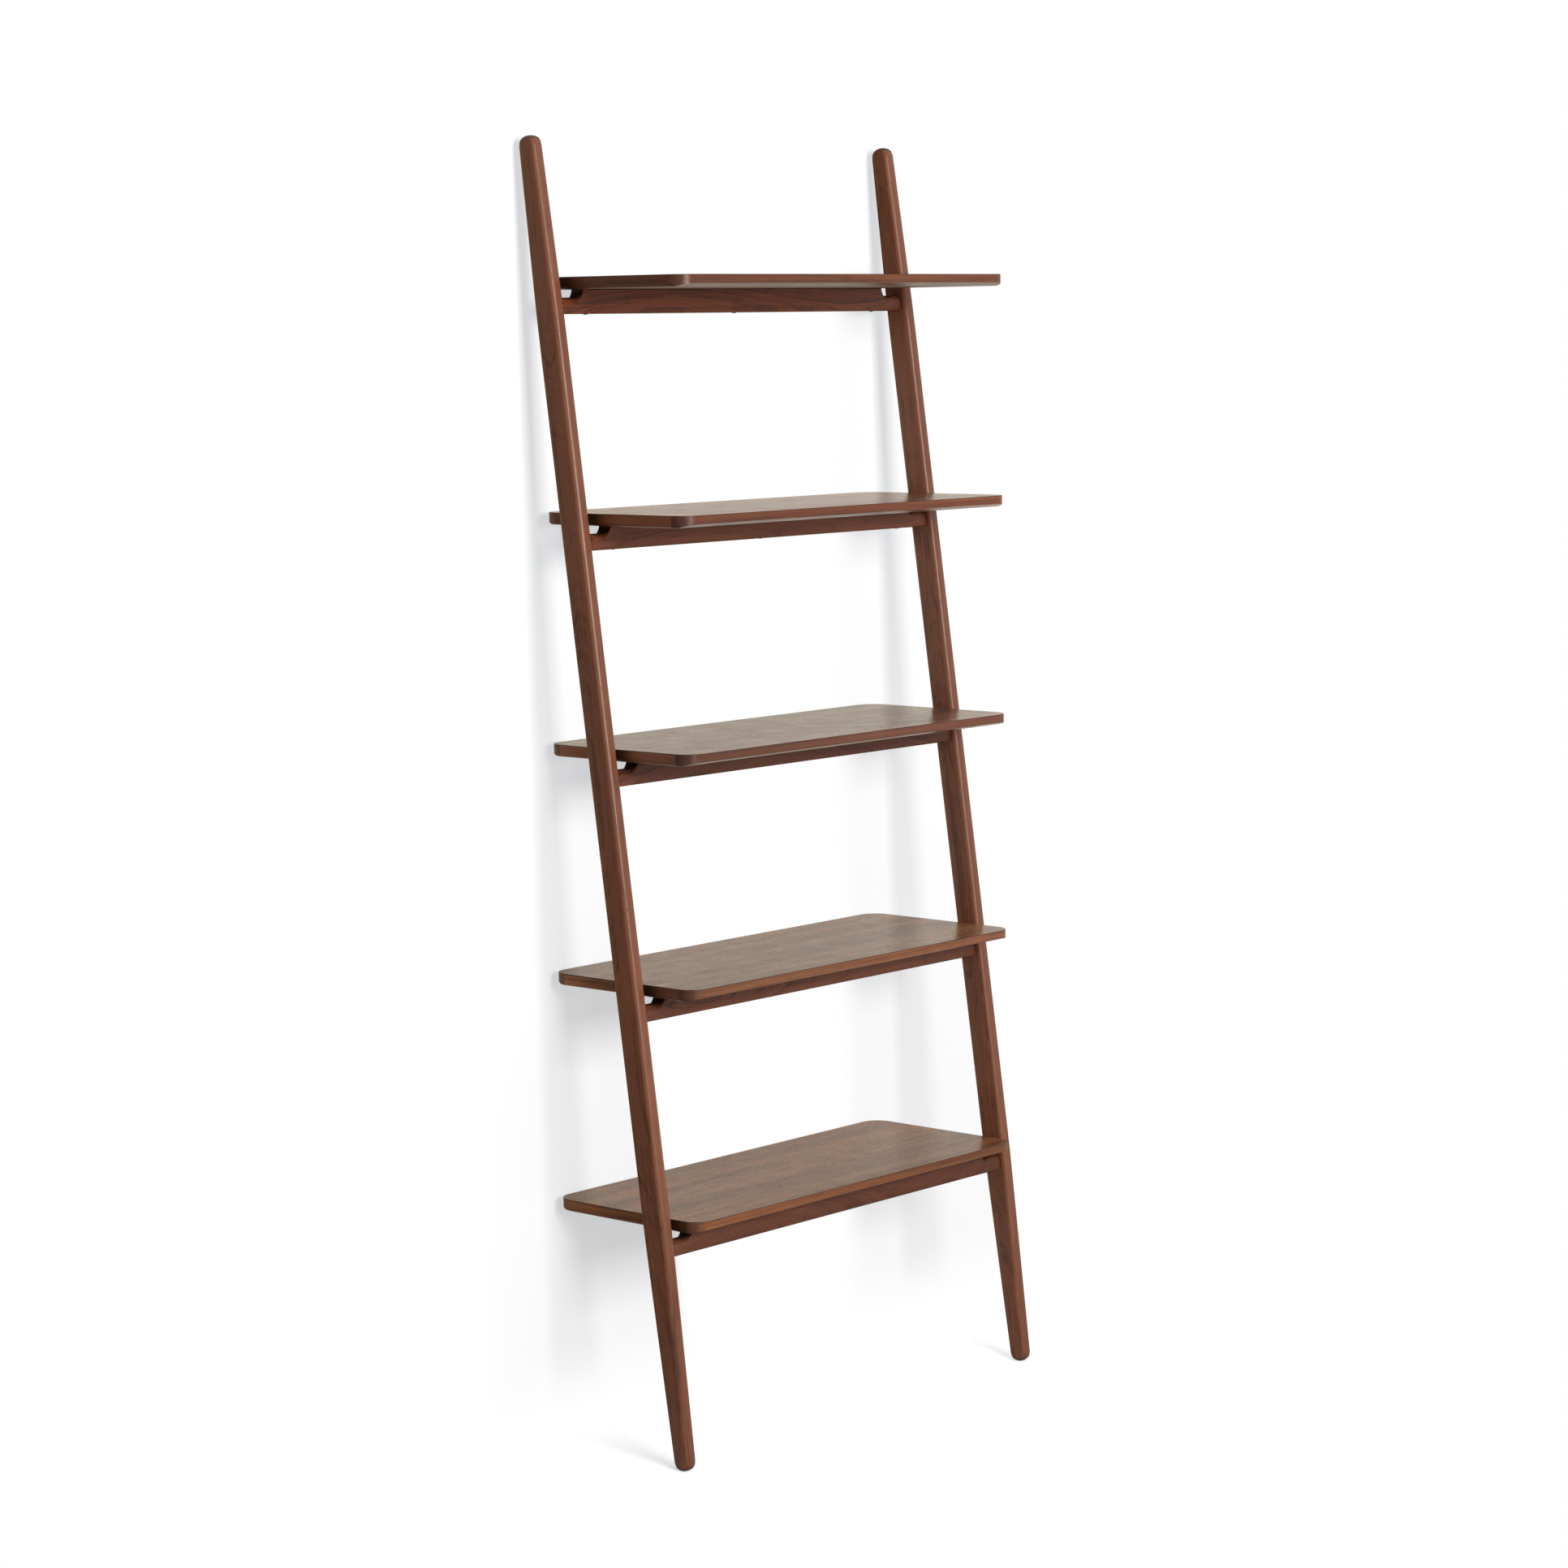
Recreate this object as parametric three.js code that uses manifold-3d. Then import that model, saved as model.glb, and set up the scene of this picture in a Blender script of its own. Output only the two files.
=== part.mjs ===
// A leaning ladder shelf: two slim stiles lean back towards a wall, five round-ended rails join
// them like rungs, and a level shelf board is screwed down on each rail.
// Millimetres. +X to the right, +Y towards the wall, +Z up. The origin is on the floor, midway
// between the stiles, in the upright plane that the back edges of the shelves share.

import * as THREE from "three";
import { mergeVertices } from "three/addons/utils/BufferGeometryUtils.js";
import Module from "manifold-3d";

const wasm = await Module();
wasm.setup();

// ---------------------------------------------------------------- driving sizes

// Shelf boards
const shelfCount = 5;
const lowestShelfTop = 375.5; // floor to the top face of the lowest shelf
const shelfSpacing = 353.4; // one top face to the next
const shelfWidth = 768;
const shelfDepth = 301;
const shelfThickness = 18.5;
const shelfCornerRadius = 31; // of the four corners, seen from above
const shelfEdgeRound = 4.5; // round along the lower edge of the sides and back
const frontFaceHeight = 12.8; // upright part of the front edge, above the undercut
const undercutDepth = 20.6; // how far the sloping undercut runs back under the front
const undercutRise = 5.3; // how far the undercut climbs over that depth
const undercutRound = 3; // length of the soft turn from the front face into the undercut
const veneerThickness = 0.8; // top sheet, which covers the lippings too
const frontLippingWidth = 30;
const backLippingWidth = 30;
const sideLippingWidth = 30;

// Stiles
const stileThickness = 22; // left to right
const stileDepth = 45.4; // front to back, square to the lean
const stileArris = 7.6; // round of its four long edges, carried on round both ends
const stileTopDepth = 34.6; // depth where the top taper meets the dome
const stileFootDepth = 31.5; // depth where the foot taper meets the dome
const domeLength = 20; // along the stile, over which its depth closes at either end
const domeFullness = 2.5; // 2 would close it along an ellipse, more leaves it blunter
const topTaperLength = 275; // along the stile, down from its tip
const footTaperLength = 350; // along the stile, up from its foot
const footFlat = 0.5; // height cut off the foot's dome, which leaves it a flat to stand on
const stileAboveHighestShelf = 210.9; // top face of the highest shelf to the stiles' tips
const lowestRailSetback = 55; // front of the lowest shelf to the middle of its rail
const highestRailSetback = 52.4; // back of the highest shelf to the middle of its rail

// Rails
const stileToShelfGap = 14; // from a shelf's end to the stile's inner face
const railThickness = 25; // front to back, and also the diameter of its round ends
const railHeight = 37;
const railLowerArris = 3;
const railUpperArris = 0.6;
const notchInset = 35.5; // from a shelf's end to the start of the notch
const notchLength = 12; // along the rail, over which its upper face drops in a hollow curve
const notchBlend = 16; // along the rail from the same start, over which its upper corners turn round
const shoulderBevel = 0.3; // along the rail, at the shoulder that bears on the stile
const tenonDepth = 16; // how far the round end goes into the stile

// Rail screws
const railScrewInset = 50; // from a shelf's end to the outer screws
const railScrewForward = 2; // from the rail's middle line to its screws, towards the front
const railScrewShank = 4; // diameter
const railScrewHead = 7; // diameter
const railScrewHeadHeight = 1.4;
const railScrewSink = 0.4; // from the rail's lower face up to the seat of the head
const railScrewBite = 12; // how far a rail screw goes into the board

// Wall brackets, under the back of the highest shelf
const bracketInset = 150; // from a shelf's end to the middle of the bracket
const bracketWidth = 40;
const bracketSheet = 2.5; // thickness of the steel
const bracketUnderShelf = 27; // leaf under the shelf, from the back plane
const bracketDown = 30; // leaf against the wall
const bracketScrewSpacing = 22; // between its two screws
const bracketScrewShank = 3.5; // diameter
const bracketScrewHead = 7; // diameter
const bracketScrewHeadHeight = 1.2;
const bracketScrewBite = 11; // how far it goes into the lipping
const wallHoleDiameter = 5;

// Clearances
const seatGap = 0.1; // between flat faces that are glued or bear on each other
const mortiseGap = 0.3; // all round a rail's end and beyond it
const screwGap = 0.3; // all round a screw and beyond its tip

// ---------------------------------------------------------------- finishes

function finish(red, green, blue, roughness, metalness) {
  const color = new THREE.Color().setRGB(red, green, blue, THREE.SRGBColorSpace);
  return new THREE.MeshStandardMaterial({ color, roughness, metalness });
}

const stileWalnut = finish(0.47, 0.28, 0.2, 0.45, 0);
const railWalnut = finish(0.44, 0.27, 0.19, 0.5, 0);
const lippingWalnut = finish(0.48, 0.28, 0.2, 0.42, 0);
const veneerWalnut = finish(0.48, 0.33, 0.25, 0.4, 0);
const boardCore = finish(0.44, 0.29, 0.22, 0.7, 0);
const darkScrewSteel = finish(0.16, 0.14, 0.13, 0.45, 0.9);
const bracketSteel = finish(0.62, 0.62, 0.6, 0.4, 0.9);

// ---------------------------------------------------------------- solids and meshes

// A three.js geometry as a solid that can be joined and cut.
function solidOf(geometry) {
  const bare = geometry.clone();
  bare.deleteAttribute("normal");
  bare.deleteAttribute("uv");
  const merged = mergeVertices(bare, 1e-4);
  return new wasm.Manifold(
    new wasm.Mesh({
      numProp: 3,
      vertProperties: new Float32Array(merged.attributes.position.array),
      triVerts: new Uint32Array(merged.index.array),
    }),
  );
}

function meshOf(name, solid, material) {
  const made = solid.getMesh();
  const indexed = new THREE.BufferGeometry();
  indexed.setAttribute("position", new THREE.BufferAttribute(made.vertProperties, 3));
  indexed.setIndex(new THREE.BufferAttribute(made.triVerts, 1));
  const geometry = indexed.toNonIndexed();
  geometry.computeVertexNormals();
  const mesh = new THREE.Mesh(geometry, material);
  mesh.name = name;
  return mesh;
}

function box(x0, x1, y0, y1, z0, z1) {
  const geometry = new THREE.BoxGeometry(x1 - x0, y1 - y0, z1 - z0);
  geometry.translate((x0 + x1) / 2, (y0 + y1) / 2, (z0 + z1) / 2);
  return solidOf(geometry);
}

// A rod along X from x0 to x1, through y and z.
function rodAlongX(radius, x0, x1, y, z, sides) {
  const geometry = new THREE.CylinderGeometry(radius, radius, x1 - x0, sides);
  geometry.rotateZ(Math.PI / 2);
  geometry.translate((x0 + x1) / 2, y, z);
  return solidOf(geometry);
}

// A rod along Z from z0 to z1, through x and y.
function rodAlongZ(radius, x, y, z0, z1, sides) {
  const geometry = new THREE.CylinderGeometry(radius, radius, z1 - z0, sides);
  geometry.rotateX(Math.PI / 2);
  geometry.translate(x, y, (z0 + z1) / 2);
  return solidOf(geometry);
}

// An outline in (Y, Z), drawn out along X from x0 to x1.
function extrudeAlongX(outline, x0, x1) {
  const geometry = new THREE.ExtrudeGeometry(outline, {
    depth: x1 - x0,
    bevelEnabled: false,
    curveSegments: 4,
  });
  const turn = new THREE.Matrix4().makeBasis(
    new THREE.Vector3(0, 1, 0),
    new THREE.Vector3(0, 0, 1),
    new THREE.Vector3(1, 0, 0),
  );
  geometry.applyMatrix4(turn);
  geometry.translate(x0, 0, 0);
  return solidOf(geometry);
}

// Points round a rectangle with rounded corners, anticlockwise. lowRound rounds its two corners
// on the -b side, highRound the two on the +b side.
function roundedRectangle(halfA, halfB, lowRound, highRound, steps) {
  const corners = [
    [1, -1, lowRound, -Math.PI / 2],
    [1, 1, highRound, 0],
    [-1, 1, highRound, Math.PI / 2],
    [-1, -1, lowRound, Math.PI],
  ];
  const points = [];
  for (const [signA, signB, radius, start] of corners) {
    for (let i = 0; i <= steps; i++) {
      const angle = start + (i / steps) * (Math.PI / 2);
      const a = signA * (halfA - radius) + radius * Math.cos(angle);
      const b = signB * (halfB - radius) + radius * Math.sin(angle);
      points.push([a, b]);
    }
  }
  return points;
}

// A skin over rings of points that all have the same count, closed by a fan at each end.
function loft(rings) {
  const count = rings[0].length;
  const positions = [];
  const index = [];
  for (const ring of rings) {
    for (const point of ring) positions.push(...point);
  }
  for (let r = 0; r < rings.length - 1; r++) {
    for (let i = 0; i < count; i++) {
      const here = r * count + i;
      const next = r * count + ((i + 1) % count);
      index.push(here, next, here + count);
      index.push(next, next + count, here + count);
    }
  }
  const last = (rings.length - 1) * count;
  for (let i = 1; i < count - 1; i++) {
    index.push(0, i + 1, i);
    index.push(last, last + i, last + i + 1);
  }
  const geometry = new THREE.BufferGeometry();
  geometry.setAttribute("position", new THREE.Float32BufferAttribute(positions, 3));
  geometry.setIndex(index);
  return solidOf(geometry);
}

// ---------------------------------------------------------------- places worked out

const stileInnerFace = shelfWidth / 2 + stileToShelfGap;
const stileCentreX = stileInnerFace + stileThickness / 2;
const railTop = -shelfThickness - seatGap; // heights here are below the shelf's top face
const railBottom = railTop - railHeight;
const roundRadius = railThickness / 2;
const roundHeight = railBottom + roundRadius;
const shelfFront = -shelfDepth;
const shelfTops = Array.from({ length: shelfCount }, (_, i) => lowestShelfTop + i * shelfSpacing);
const overallHeight = shelfTops.at(-1) + stileAboveHighestShelf;

// The stiles' centre line runs through the middles of the lowest and highest rails, which gives
// it its lean and the place where it meets the floor.
const lowestRailY = shelfFront + lowestRailSetback;
const stileSlope = (-highestRailSetback - lowestRailY) / (shelfTops.at(-1) - lowestShelfTop);
const leanAngle = Math.atan(stileSlope);
const stileFloorY = lowestRailY - (lowestShelfTop + roundHeight) * stileSlope;

function stileLineY(height) {
  return stileFloorY + height * stileSlope;
}

// ---------------------------------------------------------------- stiles

// How much of its full half size a domed end has, at a distance from its tip.
function domeShare(distance, length, fullness) {
  if (distance >= length) return 1;
  return (1 - (1 - distance / length) ** fullness) ** (1 / fullness);
}

// How far a dome reaches upright from the middle of its base, at the stile's lean.
function domeReach(halfDepth) {
  const power = domeFullness / (domeFullness - 1);
  const along = (domeLength * Math.cos(leanAngle)) ** power;
  const aside = (halfDepth * Math.sin(leanAngle)) ** power;
  return (along + aside) ** (1 / power);
}

// A stile along its own +Z, from below the floor line at 0 up to its tip. inward is the side,
// -1 or 1 along X, on which the rails enter it.
function makeStile(inward) {
  const footBase = (domeReach(stileFootDepth / 2) - footFlat) / Math.cos(leanAngle);
  const topBase = (overallHeight - domeReach(stileTopDepth / 2)) / Math.cos(leanAngle);
  const footTip = footBase - domeLength;
  const topTip = topBase + domeLength;
  const domeSteps = 7;
  const reaches = [];
  for (let i = 1; i <= domeSteps; i++) {
    reaches.push(domeLength * (1 - Math.cos((i / domeSteps) * (Math.PI / 2))));
  }
  const stations = [
    ...reaches.map((reach) => footTip + reach),
    footTip + footTaperLength,
    topTip - topTaperLength,
    ...reaches.map((reach) => topTip - reach).reverse(),
  ];

  const rings = stations.map((at) => {
    const fromFoot = at - footTip;
    const fromTop = topTip - at;
    const footShare = (fromFoot - domeLength) / (footTaperLength - domeLength);
    const topShare = (fromTop - domeLength) / (topTaperLength - domeLength);
    const footDepth = THREE.MathUtils.lerp(stileFootDepth, stileDepth, footShare);
    const topDepth = THREE.MathUtils.lerp(stileTopDepth, stileDepth, topShare);
    const tapered = Math.min(
      stileDepth,
      Math.max(footDepth, stileFootDepth),
      Math.max(topDepth, stileTopDepth),
    );
    const fromEnd = Math.min(fromFoot, fromTop);
    const halfDepth = (tapered / 2) * domeShare(fromEnd, domeLength, domeFullness);
    const closing = stileArris * (1 - domeShare(fromEnd, stileArris, 2));
    const halfThickness = stileThickness / 2 - closing;
    const arris = Math.min(stileArris, 0.96 * halfThickness, 0.96 * halfDepth);
    const outline = roundedRectangle(halfThickness, halfDepth, arris, arris, 4);
    return outline.map(([x, y]) => [x, y, at]);
  });

  let stile = loft(rings);
  for (const top of shelfTops) {
    const along = (top + roundHeight) / Math.cos(leanAngle);
    const open = inward * stileThickness;
    const blind = inward * (stileThickness / 2 - tenonDepth - mortiseGap);
    const mortiseRadius = roundRadius + mortiseGap;
    stile = stile.subtract(
      rodAlongX(mortiseRadius, Math.min(open, blind), Math.max(open, blind), 0, along, 24),
    );
  }
  return stile;
}

// The stile turned to its lean, then cut level at the floor.
function placeStile(name, side) {
  const reach = 2 * stileDepth;
  const degrees = -THREE.MathUtils.radToDeg(leanAngle);
  const leaning = makeStile(-side).rotate([degrees, 0, 0]);
  const underFloor = box(-reach, reach, -reach, reach, -reach, 0);
  const mesh = meshOf(name, leaning.subtract(underFloor), stileWalnut);
  mesh.position.set(side * stileCentreX, stileFloorY, 0);
  return mesh;
}

// ---------------------------------------------------------------- rails

// A rail along X, centred on Y = 0, at its height below the shelf's top face. Its upper face drops
// in a hollow curve at each end, while its upper corners turn round over a longer way. The lower
// corners run on to the stile, where a shoulder leaves the round tenon.
function makeRail() {
  const squareEnd = shelfWidth / 2 - notchInset;
  const shoulder = stileInnerFace - seatGap;
  const tenonEnd = stileInnerFace + tenonDepth;
  const dropSteps = 6;
  const half = [[squareEnd, 0]];
  for (let i = 1; i <= dropSteps; i++) {
    const angle = (i / dropSteps) * (Math.PI / 2);
    half.push([squareEnd + notchLength * (1 - Math.cos(angle)), Math.sin(angle)]);
  }
  half.push([squareEnd + (notchLength + notchBlend) / 2, 1]);
  half.push([squareEnd + notchBlend, 1]);
  half.push([shoulder - shoulderBevel, 1]);
  half.push([shoulder, 1]);
  half.push([tenonEnd, 1]);
  const stations = [];
  for (const [x, dropped] of [...half].reverse()) stations.push([-x, dropped]);
  for (const [x, dropped] of half) stations.push([x, dropped]);

  const rings = stations.map(([x, dropped]) => {
    const top = THREE.MathUtils.lerp(railTop, railBottom + railThickness, dropped);
    const halfHeight = (top - railBottom) / 2;
    const turned = THREE.MathUtils.smoothstep(Math.abs(x), squareEnd, squareEnd + notchBlend);
    const lower = Math.abs(x) < shoulder ? railLowerArris : roundRadius;
    const upper = THREE.MathUtils.lerp(railUpperArris, roundRadius, turned);
    const outline = roundedRectangle(roundRadius, halfHeight, lower, upper, 4);
    return outline.map(([y, z]) => [x, y, railBottom + halfHeight + z]);
  });

  let rail = loft(rings);
  for (const x of railScrewPlaces()) {
    const holeRadius = railScrewShank / 2 + screwGap;
    const sinkRadius = railScrewHead / 2 + screwGap;
    const seat = railBottom + railScrewSink;
    const hole = rodAlongZ(holeRadius, x, -railScrewForward, railBottom - 1, railTop + 1, 12);
    const sink = rodAlongZ(sinkRadius, x, -railScrewForward, railBottom - 1, seat, 16);
    rail = rail.subtract(hole).subtract(sink);
  }
  return rail;
}

function railScrewPlaces() {
  const outer = shelfWidth / 2 - railScrewInset;
  return [-outer, 0, outer];
}

// ---------------------------------------------------------------- screws

// A round-headed wood screw, point up, whose head bears on a face at Z = 0 from below. The hex
// socket is in its head.
function makeScrew(shank, head, headHeight, length) {
  const shankRadius = shank / 2;
  const headRadius = head / 2;
  const tipLength = 1.5 * shank;
  const profile = [
    new THREE.Vector2(0, -headHeight),
    new THREE.Vector2(0.62 * headRadius, -headHeight),
    new THREE.Vector2(0.92 * headRadius, -0.62 * headHeight),
    new THREE.Vector2(headRadius, -seatGap),
    new THREE.Vector2(shankRadius, -seatGap),
    new THREE.Vector2(shankRadius, length - tipLength),
    new THREE.Vector2(0, length),
  ];
  const turned = new THREE.LatheGeometry(profile, 10);
  turned.rotateX(Math.PI / 2);
  const socket = rodAlongZ(0.36 * headRadius, 0, 0, -2 * headHeight, -0.35 * headHeight, 6);
  return solidOf(turned).subtract(socket);
}

// ---------------------------------------------------------------- shelf boards

// The whole board from above, inset all round, at one height.
function boardRing(inset, z) {
  const outline = roundedRectangle(
    shelfWidth / 2 - inset,
    shelfDepth / 2 - inset,
    shelfCornerRadius - inset,
    shelfCornerRadius - inset,
    6,
  );
  return outline.map(([x, y]) => [x, y - shelfDepth / 2, z]);
}

// The side outline that the undercut leaves: upright front face, soft turn, slope, flat underside.
function undercutOutline() {
  const slope = undercutRise / undercutDepth;
  const cornerZ = -shelfThickness + undercutRise;
  const turnY = shelfFront + undercutRound;
  const outline = new THREE.Shape();
  outline.moveTo(shelfFront - 1, 1);
  outline.lineTo(shelfFront - 1, -frontFaceHeight);
  outline.lineTo(shelfFront, -frontFaceHeight);
  outline.quadraticCurveTo(shelfFront, cornerZ, turnY, cornerZ - undercutRound * slope);
  outline.lineTo(shelfFront + undercutDepth, -shelfThickness);
  outline.lineTo(shelfFront + undercutDepth, -shelfThickness - 1);
  outline.lineTo(1, -shelfThickness - 1);
  outline.lineTo(1, 1);
  outline.closePath();
  return outline;
}

// The board before it is divided into its pieces, with its top face at Z = 0 and blind screw holes
// in its underside. railY is where its rail runs, front to back.
function makeBoard(railY, hasBrackets) {
  const rings = [];
  const roundSteps = 3;
  for (let i = 0; i <= roundSteps; i++) {
    const angle = (i / roundSteps) * (Math.PI / 2);
    const inset = shelfEdgeRound * (1 - Math.sin(angle));
    rings.push(boardRing(inset, -shelfThickness + shelfEdgeRound * (1 - Math.cos(angle))));
  }
  rings.push(boardRing(0, 0));
  let board = loft(rings);
  board = board.intersect(extrudeAlongX(undercutOutline(), -shelfWidth, shelfWidth));

  const below = -shelfThickness - 1;
  const cutHole = (shank, bite, x, y) => {
    const top = -shelfThickness + bite + screwGap;
    board = board.subtract(rodAlongZ(shank / 2 + screwGap, x, y, below, top, 12));
  };
  for (const x of railScrewPlaces()) {
    cutHole(railScrewShank, railScrewBite, x, railY - railScrewForward);
  }
  if (hasBrackets) {
    for (const x of bracketPlaces().flatMap(bracketScrewPlaces)) {
      cutHole(bracketScrewShank, bracketScrewBite, x, bracketScrewY);
    }
  }
  return board;
}

// The pieces of one board by name.
function boardPieces(board) {
  const side = shelfWidth / 2;
  const gap = seatGap / 2;
  const under = -veneerThickness - seatGap;
  const frontJoint = shelfFront + frontLippingWidth;
  const backJoint = -backLippingWidth;
  const sideJoint = side - sideLippingWidth;
  const low = -shelfThickness - 1;

  const part = (x0, x1, y0, y1, z0, z1) => board.intersect(box(x0, x1, y0, y1, z0, z1));
  const veneer = part(-side, side, shelfFront, 0, -veneerThickness, 1);
  const front = part(-side, side, shelfFront, frontJoint - gap, low, under);
  const back = part(-side, side, backJoint + gap, 0, low, under);
  const left = part(-side, -sideJoint - gap, frontJoint + gap, backJoint - gap, low, under);
  const right = part(sideJoint + gap, side, frontJoint + gap, backJoint - gap, low, under);
  const inner = sideJoint - gap;
  const core = part(-inner, inner, frontJoint + gap, backJoint - gap, low, under);
  return [
    ["core", core, boardCore],
    ["top_veneer", veneer, veneerWalnut],
    ["front_lipping", front, lippingWalnut],
    ["back_lipping", back, lippingWalnut],
    ["left_lipping", left, lippingWalnut],
    ["right_lipping", right, lippingWalnut],
  ];
}

// ---------------------------------------------------------------- wall brackets

const bracketScrewY = -(bracketUnderShelf + bracketSheet) / 2;
const bracketTop = -shelfThickness - seatGap;

function bracketPlaces() {
  const x = shelfWidth / 2 - bracketInset;
  return [-x, x];
}

function bracketScrewPlaces(x) {
  return [x - bracketScrewSpacing / 2, x + bracketScrewSpacing / 2];
}

// An angle of steel sheet: one leaf under the shelf, one flat against the wall, centred on X = 0.
function makeBracket() {
  const outline = new THREE.Shape();
  outline.moveTo(-bracketUnderShelf, bracketTop);
  outline.lineTo(-bracketUnderShelf, bracketTop - bracketSheet);
  outline.lineTo(-bracketSheet, bracketTop - bracketSheet);
  outline.lineTo(-bracketSheet, bracketTop - bracketDown);
  outline.lineTo(0, bracketTop - bracketDown);
  outline.lineTo(0, bracketTop);
  outline.closePath();
  let bracket = extrudeAlongX(outline, -bracketWidth / 2, bracketWidth / 2);
  for (const x of bracketScrewPlaces(0)) {
    const holeRadius = bracketScrewShank / 2 + screwGap;
    const holeBottom = bracketTop - bracketSheet - 1;
    bracket = bracket.subtract(
      rodAlongZ(holeRadius, x, bracketScrewY, holeBottom, bracketTop + 1, 12),
    );
  }
  const wallHole = new THREE.CylinderGeometry(
    wallHoleDiameter / 2,
    wallHoleDiameter / 2,
    4 * bracketSheet,
    16,
  );
  wallHole.translate(0, 0, bracketTop - (bracketDown + bracketSheet) / 2);
  return bracket.subtract(solidOf(wallHole));
}

// ---------------------------------------------------------------- the assembly

function addShelf(assembly, number, top) {
  const isHighest = number === shelfCount;
  const railY = stileLineY(top + roundHeight);
  const shelf = new THREE.Group();
  shelf.position.z = top;
  for (const [piece, solid, material] of boardPieces(makeBoard(railY, isHighest))) {
    shelf.add(meshOf(`shelf_${number}_${piece}`, solid, material));
  }

  const rail = meshOf(`rail_${number}`, makeRail(), railWalnut);
  rail.position.y = railY;
  shelf.add(rail);

  const screwLength = railHeight - railScrewSink + seatGap + railScrewBite;
  for (const [i, x] of railScrewPlaces().entries()) {
    const screw = makeScrew(railScrewShank, railScrewHead, railScrewHeadHeight, screwLength);
    const place = ["left", "middle", "right"][i];
    const mesh = meshOf(`rail_${number}_${place}_screw`, screw, darkScrewSteel);
    mesh.position.set(x, railY - railScrewForward, railBottom + railScrewSink);
    shelf.add(mesh);
  }
  if (isHighest) addBrackets(shelf);
  assembly.add(shelf);
}

function addBrackets(shelf) {
  const screwLength = bracketSheet + seatGap + bracketScrewBite;
  for (const [i, x] of bracketPlaces().entries()) {
    const side = ["left", "right"][i];
    const bracket = meshOf(`${side}_wall_bracket`, makeBracket(), bracketSteel);
    bracket.position.x = x;
    shelf.add(bracket);
    for (const [j, screwX] of bracketScrewPlaces(x).entries()) {
      const screw = makeScrew(
        bracketScrewShank,
        bracketScrewHead,
        bracketScrewHeadHeight,
        screwLength,
      );
      const mesh = meshOf(`${side}_wall_bracket_screw_${j + 1}`, screw, darkScrewSteel);
      mesh.position.set(screwX, bracketScrewY, bracketTop - bracketSheet);
      shelf.add(mesh);
    }
  }
}

const ladderShelf = new THREE.Group();
ladderShelf.name = "ladder_shelf";
ladderShelf.add(placeStile("left_stile", -1));
ladderShelf.add(placeStile("right_stile", 1));
for (const [i, top] of shelfTops.entries()) addShelf(ladderShelf, i + 1, top);

export default ladderShelf;
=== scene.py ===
# %% [markdown]
# # A leaning ladder shelf in walnut
# Two slim stiles lean back to a wall. Five round-ended rails join them like the rungs of a
# ladder, and a level board lies on each rail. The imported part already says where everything
# is. This script gives each piece a finer skin and a real finish, sets it in a plain white
# studio, and leaves every size as it was.
#
# Metres, +X to the right, +Y to the wall, +Z up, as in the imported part.

import math
import random

import bmesh
import bpy
from mathutils import Matrix, Vector


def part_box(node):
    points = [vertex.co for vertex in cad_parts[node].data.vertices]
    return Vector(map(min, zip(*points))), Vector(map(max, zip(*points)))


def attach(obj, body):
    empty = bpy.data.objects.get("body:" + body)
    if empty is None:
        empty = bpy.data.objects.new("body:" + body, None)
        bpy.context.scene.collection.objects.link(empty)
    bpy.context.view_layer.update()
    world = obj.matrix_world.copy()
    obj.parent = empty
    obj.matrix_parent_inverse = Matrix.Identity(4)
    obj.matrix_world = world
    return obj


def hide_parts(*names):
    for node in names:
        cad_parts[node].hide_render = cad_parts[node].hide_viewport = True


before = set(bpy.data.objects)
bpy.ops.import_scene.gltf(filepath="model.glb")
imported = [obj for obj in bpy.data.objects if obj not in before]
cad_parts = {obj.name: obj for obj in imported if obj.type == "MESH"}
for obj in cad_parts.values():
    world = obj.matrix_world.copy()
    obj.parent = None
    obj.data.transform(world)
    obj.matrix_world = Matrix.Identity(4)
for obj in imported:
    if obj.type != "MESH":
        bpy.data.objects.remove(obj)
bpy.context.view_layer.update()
shelf_count = sum(name.endswith("_core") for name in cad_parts)
print("CAD nodes:", len(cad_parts), "shelves:", shelf_count)

# %% [markdown]
# ## The camera
# A long lens from the front left, a little above the middle of the shelf and looking slightly
# down. A long lens far away keeps the stiles nearly parallel, as a furniture photographer
# would. The rotation is built from heading, tilt and roll, because each of them can then be
# read and changed by itself.

# %% Set up the camera
def aim(heading, tilt, roll):
    """A camera's rotation: heading turns right from +Y, tilt looks down, roll leans right."""
    turn = Matrix.Rotation(-math.radians(heading), 4, "Z")
    look = Matrix.Rotation(math.radians(90 - tilt), 4, "X")
    lean = Matrix.Rotation(-math.radians(roll), 4, "Z")
    return turn @ look @ lean


lens = bpy.data.cameras.new("studio_camera")
lens.lens = 90.93
lens.sensor_width = 36
lens.clip_end = 200
camera = bpy.data.objects.new("studio_camera", lens)
camera.matrix_world = Matrix.Translation((-4.6491, -4.2686, 1.7120)) @ aim(48.433, 6.602, 0.812)
bpy.context.scene.collection.objects.link(camera)
bpy.context.scene.camera = camera
print("lens:", lens.lens, "mm")

# %% [markdown]
# ## Skins over rings
# Stiles, rails, boards and screws are all one idea: a row of rings with the same number of
# points, joined by a skin and closed at both ends. Ready-made cubes and cylinders could be
# beveled instead, but rings let the section change along the way, from square to round or
# from full to tapered, with nothing to clean up afterwards.

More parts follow.
